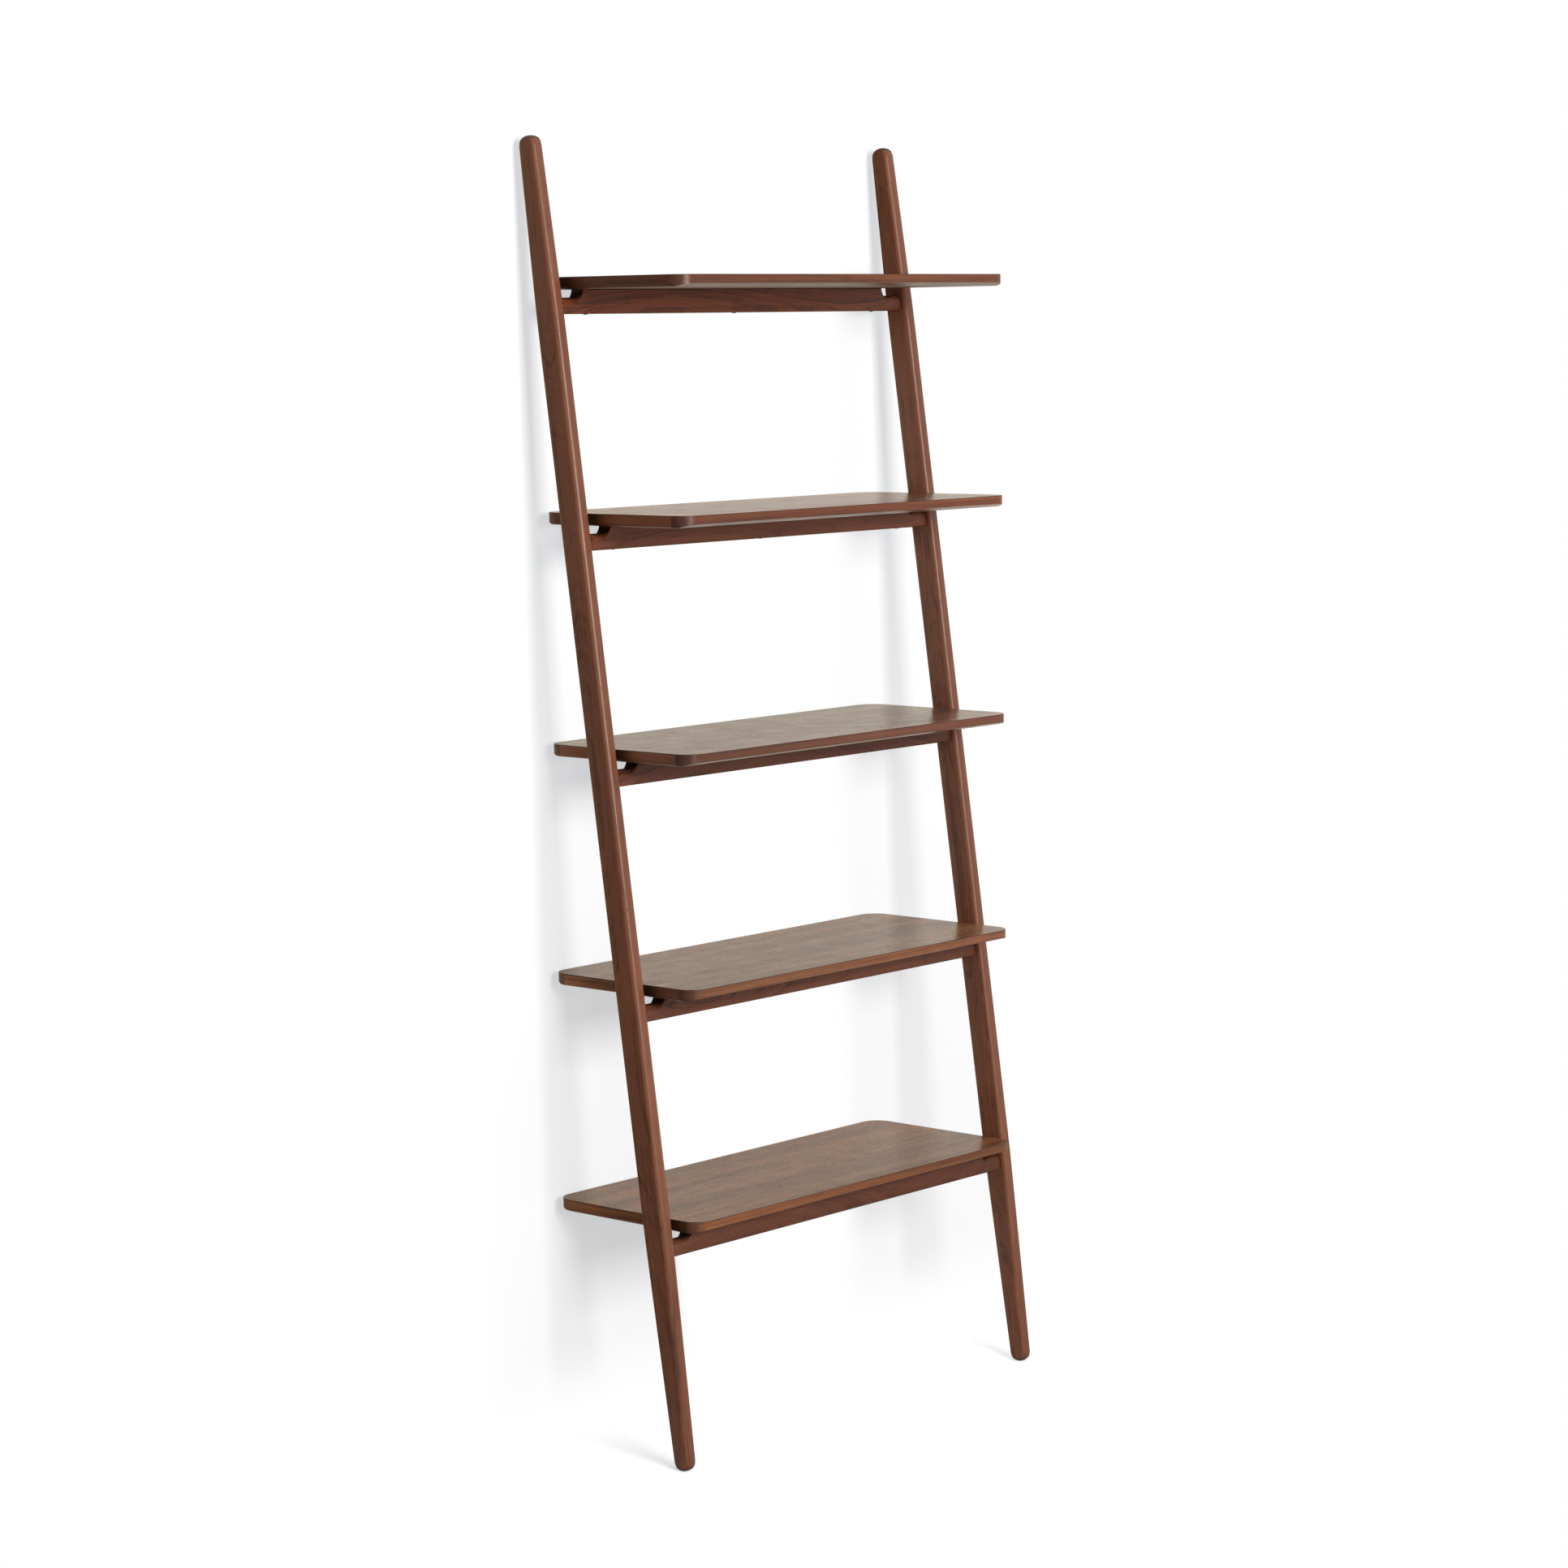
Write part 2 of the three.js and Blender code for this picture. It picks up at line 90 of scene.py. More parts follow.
# %% Rounded rectangles and lofts
def rounded_rectangle(half_a, half_b, low_round, high_round, steps):
    """Points round a rectangle. low_round rounds the corners on the -b side, high_round the others."""
    corners = (
        (1, -1, low_round, -0.5),
        (1, 1, high_round, 0.0),
        (-1, 1, high_round, 0.5),
        (-1, -1, low_round, 1.0),
    )
    points = []
    for sign_a, sign_b, radius, start in corners:
        for i in range(steps + 1):
            angle = (start + 0.5 * i / steps) * math.pi
            a = sign_a * (half_a - radius) + radius * math.cos(angle)
            b = sign_b * (half_b - radius) + radius * math.sin(angle)
            points.append((a, b))
    return points


def loft(rings):
    """A closed skin over rings of points, as a bmesh."""
    skin = bmesh.new()
    rows = [[skin.verts.new(point) for point in ring] for ring in rings]
    for low, high in zip(rows, rows[1:]):
        for i in range(len(low)):
            j = (i + 1) % len(low)
            skin.faces.new((low[i], low[j], high[j], high[i]))
    skin.faces.new(rows[0][::-1])
    skin.faces.new(rows[-1])
    bmesh.ops.recalc_face_normals(skin, faces=skin.faces)
    return skin


# %% [markdown]
# ## Cutting
# A saw cut is a plane: bisecting the skin and filling the wound leaves a closed solid again.
# A drilled hole is a boolean with the drill's shape. Both are done on the bare mesh, before
# it becomes a piece, so that nothing is left waiting in a modifier.

# %% Saw and drill
on_plane = 1e-7
same_point = 1e-6


def saw(skin, point, outward):
    """Cuts away what lies beyond a plane and closes the cut."""
    everything = skin.verts[:] + skin.edges[:] + skin.faces[:]
    cut = bmesh.ops.bisect_plane(
        skin, geom=everything, dist=on_plane, plane_co=point, plane_no=outward, clear_outer=True
    )
    edges = [part for part in cut["geom_cut"] if isinstance(part, bmesh.types.BMEdge)]
    if edges:
        bmesh.ops.edgeloop_fill(skin, edges=edges)


def holder(skin):
    """A throwaway object round a bmesh."""
    data = bpy.data.meshes.new("bench")
    skin.to_mesh(data)
    skin.free()
    held = bpy.data.objects.new("bench", data)
    bpy.context.scene.collection.objects.link(held)
    return held


def drill(skin, bits):
    """Takes the drills' shapes out of a skin and gives the new skin."""
    work = holder(skin)
    tools = [holder(bit) for bit in bits]
    for tool in tools:
        cut = work.modifiers.new("drill", "BOOLEAN")
        cut.object = tool
        cut.operation = "DIFFERENCE"
        cut.solver = "EXACT"
    bpy.context.view_layer.update()
    ready = work.evaluated_get(bpy.context.evaluated_depsgraph_get())
    carved = bmesh.new()
    carved.from_mesh(ready.to_mesh())
    bmesh.ops.remove_doubles(carved, verts=carved.verts[:], dist=same_point)
    for bench in [work, *tools]:
        bpy.data.objects.remove(bench)
    return carved


# %% [markdown]
# ## Which way the wood runs
# Walnut looks different along the grain, across it and on a cut end. So each wooden piece
# carries its own coordinates: metres along the grain, across the piece and through it, plus
# a seeded shift, as if each had been sawn from its own place in the log. They are stored on
# the mesh, so that a finish knows the grain without knowing the piece. A second value says
# how much of a cut end each corner of the mesh shows, and a third is the piece's cast of
# colour. It is partly the piece's own tone, as no two boards have quite the same, and partly
# painted light and shade. On some pieces it drifts from end to end, a painted gradient of light.

# %% Grain on the mesh
def log_place(seed, side, depth):
    """Where in the log a piece was sawn: a long way along it, and a little aside."""
    chance = random.Random(seed)
    along = chance.uniform(-4, 4)
    return Vector((along, chance.uniform(-side, side), chance.uniform(-depth, depth)))


def write_grain(data, centre, along, across, shift, cast=(1, 1, 1), drift=(1, 1), cut=1.0):
    """Stores the grain coordinates, the share of end grain and the colour cast on a mesh. The
    cast is partly the piece's tone and partly painted light and shade. It changes along the
    grain, from drift's first factor to its second, as a painted gradient of light. A cut end
    shows its end grain by the share cut."""
    through = along.cross(across)
    grain = data.attributes.new("grain", "FLOAT_VECTOR", "POINT")
    for vertex, value in zip(data.vertices, grain.data):
        reach = vertex.co - centre
        value.vector = shift + Vector((reach.dot(along), reach.dot(across), reach.dot(through)))
    ends = data.attributes.new("end_grain", "FLOAT", "CORNER")
    for normal, value in zip(data.corner_normals, ends.data):
        value.value = cut * abs(normal.vector.dot(along))
    casts = data.attributes.new("cast", "FLOAT_VECTOR", "POINT")
    runs = [(vertex.co - centre).dot(along) for vertex in data.vertices]
    start, length = min(runs), max(runs) - min(runs)
    for run, value in zip(runs, casts.data):
        share = (run - start) / length
        value.vector = Vector(cast) * (drift[0] + (drift[1] - drift[0]) * share)


# %% [markdown]
# ## Turning a skin into a piece
# Every piece is smooth but for its real edges, and weighted normals keep the wide flats flat
# beside their small rounds. Each then stands for its CAD node, which it hides, takes the
# finishes it is given and rides on the one body that this part has.

# %% Make a piece
def make_piece(name, skin, finishes, node, grain=None, place=(0, 0, 0), crease=28):
    """Gives a skin its name, finish and place in the part."""
    data = bpy.data.meshes.new(name)
    skin.to_mesh(data)
    skin.free()
    data.shade_smooth()
    data.set_sharp_from_angle(angle=math.radians(crease))
    if grain:
        write_grain(data, *grain)
    for finish in finishes:
        data.materials.append(finish)
    piece = bpy.data.objects.new(name, data)
    piece.location = place
    bpy.context.scene.collection.objects.link(piece)
    flats = piece.modifiers.new("flats stay flat", "WEIGHTED_NORMAL")
    flats.keep_sharp = True
    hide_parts(node)
    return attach(piece, "root")


# %% [markdown]
# ## Wiring finishes
# A finish is a small circuit of nodes. A few helpers keep the circuits readable: they add a
# node and feed its inputs, do a step of arithmetic, turn a range of values into another with a
# soft curve, and make a group. A number goes straight into a socket, and another node's output
# is linked.

# %% Node helpers
def feed(tree, node, feeds):
    """Gives a node its inputs, each a value or a socket to link."""
    for socket, value in feeds.items():
        if isinstance(value, bpy.types.NodeSocket):
            tree.links.new(value, node.inputs[socket])
        else:
            node.inputs[socket].default_value = value
    return node


def add(tree, kind, feeds=None, **options):
    """Adds a shader node and feeds it."""
    node = tree.nodes.new("ShaderNode" + kind)
    for option, value in options.items():
        setattr(node, option, value)
    return feed(tree, node, feeds or {})


def sum_of(tree, operation, *values):
    """One step of arithmetic."""
    return add(tree, "Math", dict(enumerate(values)), operation=operation).outputs[0]


def times(tree, a, b):
    return sum_of(tree, "MULTIPLY", a, b)


def plus(tree, a, b):
    return sum_of(tree, "ADD", a, b)


def minus(tree, a, b):
    return sum_of(tree, "SUBTRACT", a, b)


def vector_of(tree, operation, a, b):
    """One step of arithmetic on vectors."""
    return add(tree, "VectorMath", {0: a, 1: b}, operation=operation).outputs[0]


def length_of(tree, operation, a, b=(0, 0, 0)):
    """One step of arithmetic on vectors that gives a number."""
    return add(tree, "VectorMath", {0: a, 1: b}, operation=operation).outputs["Value"]


def split(tree, vector):
    """The X, Y and Z of a vector."""
    return add(tree, "SeparateXYZ", {0: vector}).outputs


def soften(tree, value, start, end, low=0.0, high=1.0):
    """Takes start to end into low to high, with an S curve between."""
    feeds = {0: value, 1: start, 2: end, 3: low, 4: high}
    return add(tree, "MapRange", feeds, interpolation_type="SMOOTHSTEP").outputs[0]


def tint(tree, share, base, other, blend="MIX"):
    """Lays one colour over another."""
    node = add(tree, "Mix", {0: share, 6: base, 7: other}, data_type="RGBA", blend_type=blend)
    return node.outputs[2]


def stretched_noise(tree, grain, along, across, detail, roughness=0.5):
    """Noise drawn out along the grain. along and across are its details to the metre."""
    scaled = vector_of(tree, "MULTIPLY", grain, (along, across, across))
    feeds = {"Vector": scaled, "Scale": 1.0, "Detail": detail, "Roughness": roughness}
    return add(tree, "TexNoise", feeds)


def kind_of(value):
    """The kind of socket that holds a value: a number, a vector or a colour."""
    return "Float" if isinstance(value, float) else {3: "Vector", 4: "Color"}[len(value)]


def node_group(name, inputs, outputs):
    """Makes a node group out of the function below it, which wires the group up and returns a
    socket for each output. The function's name then stands for the group."""
    def build(wire):
        tree = bpy.data.node_groups.new(name, "ShaderNodeTree")
        new_socket = tree.interface.new_socket
        for title, value in inputs.items():
            kind = "NodeSocket" + kind_of(value)
            new_socket(title, in_out="INPUT", socket_type=kind).default_value = value
        for title, kind in outputs.items():
            new_socket(title, in_out="OUTPUT", socket_type="NodeSocket" + kind)
        given = tree.nodes.new("NodeGroupInput").outputs
        feed(tree, tree.nodes.new("NodeGroupOutput"), wire(tree, given))
        print(name + ":", len(tree.nodes), "nodes")
        return tree

    return build


def feed_group(tree, group, feeds):
    """Places a node group in a finish and feeds it."""
    node = tree.nodes.new("ShaderNodeGroup")
    node.node_tree = group
    return feed(tree, node, feeds)


def new_finish(name):
    """A bare material and its node tree."""
    finish = bpy.data.materials.new(name)
    finish.use_nodes = True
    finish.node_tree.nodes.clear()
    return finish, finish.node_tree


def shade(red, green, blue):
    """A colour as it is read off a screen, 0 to 255, in the linear values that shaders use."""
    def straight(value):
        part = value / 255
        return part / 12.92 if part <= 0.04045 else ((part + 0.055) / 1.055) ** 2.4

    return (straight(red), straight(green), straight(blue), 1.0)


# %% [markdown]
# ## Walnut figure
# A tree grows in rings round its heart. A board shows them as arches where the saw ran beside
# the rings, as lines where it ran across them, and as arcs on a cut end. One group makes all
# three: it measures the distance to a heart that lies beside the board, lets that distance
# wander, and counts rings in it. Over the rings lie broad streaks, fine fibres, a faint ripple
# across the grain and a mottle where the fibres roll under the surface. A flat wood picture
# could not turn the corner onto the end grain.

# %% The walnut figure group
figure_inputs = {
    "Grain": (0, 0, 0), "Pale": shade(168, 118, 84), "Brown": shade(135, 86, 63),
    "Dark": shade(84, 52, 38), "Heart Side": 0.01, "Heart Depth": -0.06, "Ring Width": 0.004,
    "Wander": 0.012, "Ring Contrast": 0.3, "Sway": 0.006, "Streaks": 0.6, "Ripple": 0.1,
    "Mottle": 0.3,
}


@node_group("walnut figure", figure_inputs, {"Color": "Color", "Ring": "Float"})
def walnut_figure(tree, given):
    grain = given["Grain"]

    wander = stretched_noise(tree, grain, 1.3, 11, 1.5).outputs["Color"]
    drift = vector_of(tree, "SUBTRACT", wander, (0.5, 0.5, 0.5))
    reach = times(tree, given["Wander"], 4.0)
    drift = add(tree, "VectorMath", {0: drift, "Scale": reach}, operation="SCALE").outputs[0]
    place = split(tree, vector_of(tree, "ADD", grain, drift))
    side = minus(tree, place[1], given["Heart Side"])
    depth = minus(tree, place[2], given["Heart Depth"])
    bend = sum_of(tree, "SINE", times(tree, place[0], 7.0))
    depth = plus(tree, depth, times(tree, bend, given["Sway"]))
    square = plus(tree, sum_of(tree, "POWER", side, 2.0), sum_of(tree, "POWER", depth, 2.0))
    radius = sum_of(tree, "SQRT", square)

    feeds = {"W": times(tree, radius, 70.0), "Detail": 1.0}
    uneven = add(tree, "TexNoise", feeds, noise_dimensions="1D").outputs[0]
    ragged = stretched_noise(tree, grain, 9, 160, 2).outputs[0]
    rings = sum_of(tree, "DIVIDE", radius, given["Ring Width"])
    rings = plus(tree, rings, times(tree, uneven, 3.0))
    rings = plus(tree, rings, times(tree, ragged, 0.7))
    phase = sum_of(tree, "FRACT", rings)
    late = times(tree, soften(tree, phase, 0.35, 0.92), soften(tree, phase, 0.94, 1.0, 1.0, 0.0))
    feeds = {"W": sum_of(tree, "FLOOR", rings)}
    year = add(tree, "TexWhiteNoise", feeds, noise_dimensions="1D").outputs[0]

    broad = stretched_noise(tree, grain, 0.8, 26, 2).outputs[0]
    streak = stretched_noise(tree, grain, 2.2, 150, 3, 0.6).outputs[0]
    fibre = stretched_noise(tree, grain, 14, 900, 2, 0.6).outputs[0]
    scaled = vector_of(tree, "MULTIPLY", grain, (70, 14, 14))
    ripple = add(tree, "TexNoise", {"Vector": scaled, "Scale": 1.0, "Detail": 1.0}).outputs[0]
    mottle = stretched_noise(tree, grain, 24, 75, 3, 0.55).outputs[0]

    tone = 0.5
    parts = (
        (broad, times(tree, given["Streaks"], 1.7)),
        (streak, times(tree, given["Streaks"], 1.5)),
        (fibre, 0.55),
        (year, times(tree, given["Ring Contrast"], 0.45)),
        (ripple, given["Ripple"]),
        (mottle, given["Mottle"]),
    )
    for value, weight in parts:
        centred = minus(tree, value, 0.5)
        tone = plus(tree, tone, times(tree, centred, weight))
    tone = minus(tree, tone, times(tree, late, given["Ring Contrast"]))

    colour = tint(tree, soften(tree, tone, 0.0, 0.5), given["Dark"], given["Brown"])
    colour = tint(tree, soften(tree, tone, 0.5, 1.0), colour, given["Pale"])
    return {"Color": colour, "Ring": late}

# %% [markdown]
# ## Pores
# Walnut has open pores: dark dashes along the grain, a few millimetres long and a fraction of
# one wide, which are dots on a cut end. Cells drawn out along the grain give dashes with no
# regular spacing. The oil does not fill them, so they are both darker and a little sunk.

# %% The pore group
pore_inputs = {"Grain": (0, 0, 0), "Length": 0.006, "Width": 0.0004, "Share": 0.25}


@node_group("open pores", pore_inputs, {"Pore": "Float"})
def open_pores(tree, given):
    cell = add(tree, "CombineXYZ", {0: given["Length"], 1: given["Width"], 2: given["Width"]})
    scaled = vector_of(tree, "DIVIDE", given["Grain"], cell.outputs[0])
    distance = add(tree, "TexVoronoi", {"Vector": scaled, "Scale": 1.0}).outputs["Distance"]
    crowd = stretched_noise(tree, given["Grain"], 5, 220, 2).outputs[0]
    reach = times(tree, soften(tree, crowd, 0.3, 0.7, 0.35, 1.35), given["Share"])
    core = times(tree, reach, 0.4)
    return {"Pore": soften(tree, distance, core, reach, 1.0, 0.0)}

# %% [markdown]
# ## Rubbed edges
# Hands and cloths polish the edges first. A bevel node looks at how far the surface turns
# within a couple of millimetres, which finds every edge, sharp or round, on any mesh. Some
# noise along it breaks up the line.

# %% The rubbed edge group
rub_inputs = {"Grain": (0, 0, 0), "Radius": 0.0015, "Amount": 0.6}


@node_group("rubbed edges", rub_inputs, {"Edge": "Float"})
def rubbed_edges(tree, given):
    rounded = add(tree, "Bevel", {"Radius": given["Radius"]}, samples=6).outputs[0]
    true = add(tree, "NewGeometry").outputs["Normal"]
    turn = soften(tree, length_of(tree, "DOT_PRODUCT", rounded, true), 0.995, 0.85)
    patchy = stretched_noise(tree, given["Grain"], 60, 200, 3, 0.6).outputs[0]
    broken = times(tree, turn, soften(tree, patchy, 0.32, 0.62, 0.25, 1.0))
    return {"Edge": times(tree, broken, given["Amount"])}

# %% [markdown]
# ## Painted nook shade
# Shade falls in the gap behind a stile, under a board and in the hollow of a notch, and it is
# painted into the wood's colour there. An occlusion node finds such places: it looks out from
# the surface and says how much of the view is free within a few centimetres.

# %% The painted nook shade group
@node_group("painted nook shade", {"Closed": 0.15, "Open": 0.6, "Reach": 0.05}, {"Nook": "Float"})
def painted_nook_shade(tree, given):
    free = add(tree, "AmbientOcclusion", {"Distance": given["Reach"]}, samples=8).outputs["AO"]
    return {"Nook": soften(tree, free, given["Closed"], given["Open"], 1.0, 0.0)}

# %% [markdown]
# ## Oil film
# A satin oil is never even: it lies duller where the wood drank it, in the pores and on the
# end grain, and glossier where it was rubbed. The group gives the roughness, and the small
# height left by the pores, the rings and the last sanding.

# %% The oil film group
film_inputs = {
    "Grain": (0, 0, 0), "Base Roughness": 0.4, "Pore": 0.0, "Ring": 0.0, "Edge": 0.0, "End": 0.0,
}


@node_group("oil film", film_inputs, {"Roughness": "Float", "Height": "Float"})
def oil_film(tree, given):
    feeds = {"Vector": given["Grain"], "Scale": 23.0, "Detail": 3.0}
    cloudy = add(tree, "TexNoise", feeds).outputs[0]
    sanding = stretched_noise(tree, given["Grain"], 90, 2600, 1).outputs[0]
    rough = given["Base Roughness"]
    for value, weight in (
        (minus(tree, cloudy, 0.5), 0.16),
        (minus(tree, sanding, 0.5), 0.12),
        (given["Pore"], 0.25),
        (given["End"], 0.07),
        (given["Edge"], -0.12),
    ):
        rough = plus(tree, rough, times(tree, value, weight))
    rough = add(tree, "Clamp", {0: rough, 1: 0.2, 2: 0.9}).outputs[0]
    height = times(tree, given["Pore"], -1.0)
    height = plus(tree, height, times(tree, given["Ring"], 0.12))
    height = plus(tree, height, times(tree, sanding, 0.15))
    return {"Roughness": rough, "Height": height}

# %% [markdown]
# ## Knots
# A small knot is where a twig left the stem. The grain bows round it and the heart of it is
# dark. The group bends the grain coordinates away from the knot's heart before the figure is
# drawn with them, so rings, streaks and pores all flow round it together.

# %% The knot group
knot_inputs = {"Grain": (0, 0, 0), "Spot": (0, 0, 0), "Size": 0.004}


@node_group("knot", knot_inputs, {"Grain": "Vector", "Knot": "Float"})
def knot_swirl(tree, given):
    off = vector_of(tree, "SUBTRACT", given["Grain"], given["Spot"])
    long_way = times(tree, given["Size"], 5.0)
    short_way = times(tree, given["Size"], 2.0)
    reach = add(tree, "CombineXYZ", {0: long_way, 1: short_way, 2: short_way}).outputs[0]
    near = vector_of(tree, "DIVIDE", off, reach)
    square = length_of(tree, "DOT_PRODUCT", near, near)
    pull = sum_of(tree, "EXPONENT", times(tree, square, -1.0))
    aside = vector_of(tree, "MULTIPLY", off, (0, 1, 1))
    aside = add(tree, "VectorMath", {0: aside}, operation="NORMALIZE").outputs[0]
    push = times(tree, times(tree, pull, given["Size"]), -1.4)
    bow = add(tree, "VectorMath", {0: aside, "Scale": push}, operation="SCALE").outputs[0]
    bowed = vector_of(tree, "ADD", given["Grain"], bow)
    squeezed = vector_of(tree, "MULTIPLY", off, (0.6, 1, 1))
    core = sum_of(tree, "DIVIDE", length_of(tree, "LENGTH", squeezed), given["Size"])
    return {"Grain": bowed, "Knot": soften(tree, core, 0.25, 1.0, 1.0, 0.0)}

# %% [markdown]
# ## Walnut finishes
# The stiles, rails, edges and veneers come from different boards and take the light
# differently, so each has its own finish with its own colours, heart and rings, made of the
# same groups. The Principled shader stays in the finish itself.

# %% Build a walnut finish
def walnut(name, colours, heart, rings, streaks, pores, film, nooks, knots=()):
    """A walnut finish. colours: pale, brown, dark; heart: side, depth, sway; rings: width, wander,
    contrast; streaks: streaks, ripple, mottle; pores: length, width, share, darkness; film:
    roughness, rubbing, specular level; nooks: closed, open and darkness of the painted shade in
    nooks; knots: spot and size."""
    finish, tree = new_finish(name)
    grain = add(tree, "Attribute", attribute_name="grain").outputs["Vector"]
    end = add(tree, "Attribute", attribute_name="end_grain").outputs["Fac"]
    end = soften(tree, end, 0.25, 0.9)
    hearts = []
    for spot, size in knots:
        swirl = feed_group(tree, knot_swirl, {"Grain": grain, "Spot": spot, "Size": size})
        grain = swirl.outputs["Grain"]
        hearts.append(swirl.outputs["Knot"])
    figure = feed_group(tree, walnut_figure, {
        "Grain": grain, "Pale": colours[0], "Brown": colours[1], "Dark": colours[2],
        "Heart Side": heart[0], "Heart Depth": heart[1], "Sway": heart[2],
        "Ring Width": rings[0], "Wander": rings[1], "Ring Contrast": rings[2],
        "Streaks": streaks[0], "Ripple": streaks[1], "Mottle": streaks[2],
    })
    pore = feed_group(tree, open_pores, {
        "Grain": grain, "Length": pores[0], "Width": pores[1], "Share": pores[2],
    }).outputs["Pore"]
    rub = {"Grain": grain, "Radius": 0.0015, "Amount": film[1]}
    edge = feed_group(tree, rubbed_edges, rub).outputs["Edge"]
    nook = feed_group(tree, painted_nook_shade, {"Closed": nooks[0], "Open": nooks[1]}).outputs["Nook"]

    # The cast multiplies the figure: partly the piece's own tone, partly painted light and shade.
    cast = add(tree, "Attribute", attribute_name="cast").outputs["Vector"]
    colour = tint(tree, 1.0, figure.outputs["Color"], cast, "MULTIPLY")
    # The nook layer is painted shade: it darkens the colour where occlusion finds a gap or hollow.
    layers = [
        (pore, pores[3], shade(38, 22, 15)),
        (end, 0.7, shade(46, 25, 16)),
        (edge, 0.35, colours[0]),
        (nook, nooks[2], shade(30, 16, 11)),
    ]
    layers += [(knot_heart, 0.45, shade(28, 15, 10)) for knot_heart in hearts]
    for place, strength, layer in layers:
        colour = tint(tree, times(tree, place, strength), colour, layer)
    coat = feed_group(tree, oil_film, {
        "Grain": grain, "Base Roughness": film[0], "Pore": pore,
        "Ring": figure.outputs["Ring"], "Edge": edge, "End": end,
    })
    bumps = {"Height": coat.outputs["Height"], "Strength": 0.6, "Distance": 0.00012}
    wood = add(tree, "BsdfPrincipled", {
        "Base Color": colour, "Roughness": coat.outputs["Roughness"],
        "Normal": add(tree, "Bump", bumps).outputs[0], "IOR": 1.48, "Specular IOR Level": film[2],
    })
    add(tree, "OutputMaterial", {"Surface": wood.outputs[0]})
    return finish


# %% The walnut finishes
fine_pores = (0.008, 0.0003, 0.26, 0.45)
left_stile_log = log_place(11, 0.02, 0.01)
fleck = left_stile_log + Vector((1.94, -0.018, -0.0033))
swirl = left_stile_log + Vector((1.88, -0.0195, 0.001))
stile_walnut = walnut(
    "stile walnut",
    (shade(142, 88, 60), shade(121, 72, 49), shade(84, 47, 31)),
    heart=(0.012, -0.055, 0.007), rings=(0.0045, 0.006, 0.20), streaks=(0.6, 0.12, 0.55),
    pores=fine_pores, film=(0.31, 0.6, 0.34),
    nooks=(0.1, 0.4, 0.4), knots=((fleck, 0.0022), (swirl, 0.0032)),
)
rail_walnut = walnut(
    "rail walnut",
    (shade(134, 82, 60), shade(114, 67, 48), shade(80, 45, 33)),
    heart=(-0.004, -0.042, 0.009), rings=(0.0042, 0.005, 0.30), streaks=(0.5, 0.12, 0.5),
    pores=fine_pores, film=(0.36, 0.5, 0.26), nooks=(0.12, 0.42, 0.75),
)
lipping_walnut = walnut(
    "lipping walnut",
    (shade(148, 90, 61), shade(126, 73, 49), shade(90, 50, 34)),
    heart=(0.0, -0.070, 0.008), rings=(0.0038, 0.005, 0.28), streaks=(0.9, 0.1, 0.45),
    pores=fine_pores, film=(0.31, 0.6, 0.3), nooks=(0.4, 1.0, 0.9),
)
veneer_walnut = walnut(
    "veneer walnut",
    (shade(154, 98, 68), shade(132, 80, 53), shade(102, 60, 40)),
    heart=(0.02, -0.10, 0.02), rings=(0.0065, 0.012, 0.38), streaks=(1.4, 0.06, 0.65),
    pores=(0.009, 0.0005, 0.34, 0.75), film=(0.26, 0.4, 0.45), nooks=(0.15, 0.5, 0.3),
)
veneer_rim_walnut = walnut(
    "veneer rim walnut",
    (shade(92, 56, 40), shade(72, 42, 30), shade(48, 27, 19)),
    heart=(0.02, -0.10, 0.02), rings=(0.0065, 0.012, 0.2), streaks=(0.5, 0.1, 0.3),
    pores=fine_pores, film=(0.46, 0.3, 0.36), nooks=(0.2, 0.8, 0.6),
)
core_walnut = walnut(
    "core walnut",
    (shade(128, 84, 62), shade(108, 68, 49), shade(78, 47, 33)),
    heart=(-0.03, -0.12, 0.02), rings=(0.007, 0.012, 0.2), streaks=(0.5, 0.1, 0.3),
    pores=(0.008, 0.0004, 0.28, 0.5), film=(0.50, 0.3, 0.4), nooks=(0.15, 0.5, 0.5),
)
print("walnut finishes:", sum("walnut" in finish.name for finish in bpy.data.materials))

# %% [markdown]
# ## Steel finishes
# The screws are black zinc, the wall brackets bright zinc. Both are metal with a thin, uneven
# plating: clouds in the gloss, fine scratches, and bare bright steel at the edges.

# %% Build a plated steel finish
def plated_steel(name, plating, bare, roughness, scratch_way):
    """Zinc-plated steel. scratch_way stretches the scratches, to the metre along X, Y and Z."""
    finish, tree = new_finish(name)
    place = add(tree, "TexCoord").outputs["Object"]
    clouds = add(tree, "TexNoise", {"Vector": place, "Scale": 260.0, "Detail": 4.0}).outputs[0]
    drawn = vector_of(tree, "MULTIPLY", place, scratch_way)
    scratches = add(tree, "TexNoise", {"Vector": drawn, "Scale": 1.0, "Detail": 2.0}).outputs[0]
    rub = {"Grain": place, "Radius": 0.0005, "Amount": 0.8}
    edge = feed_group(tree, rubbed_edges, rub).outputs["Edge"]
    dull = tint(tree, soften(tree, clouds, 0.35, 0.7, 0.0, 0.5), plating, shade(20, 19, 18))
    colour = tint(tree, edge, dull, bare)
    rough = plus(tree, roughness, soften(tree, clouds, 0.3, 0.7, -0.08, 0.14))
    relief = add(tree, "Bump", {"Height": scratches, "Strength": 0.3, "Distance": 0.00005})
    metal = add(tree, "BsdfPrincipled", {
        "Base Color": colour, "Roughness": rough, "Metallic": 1.0, "Normal": relief.outputs[0],
    })
    add(tree, "OutputMaterial", {"Surface": metal.outputs[0]})
    return finish


dark_screw_steel = plated_steel(
    "dark screw steel", shade(52, 47, 44), shade(150, 146, 140), 0.42, (900, 900, 4000)
)
bracket_steel = plated_steel(
    "bracket steel", shade(172, 172, 168), shade(205, 205, 202), 0.34, (60, 3000, 3000)
)
print("steel finishes:", dark_screw_steel.name, "and", bracket_steel.name)

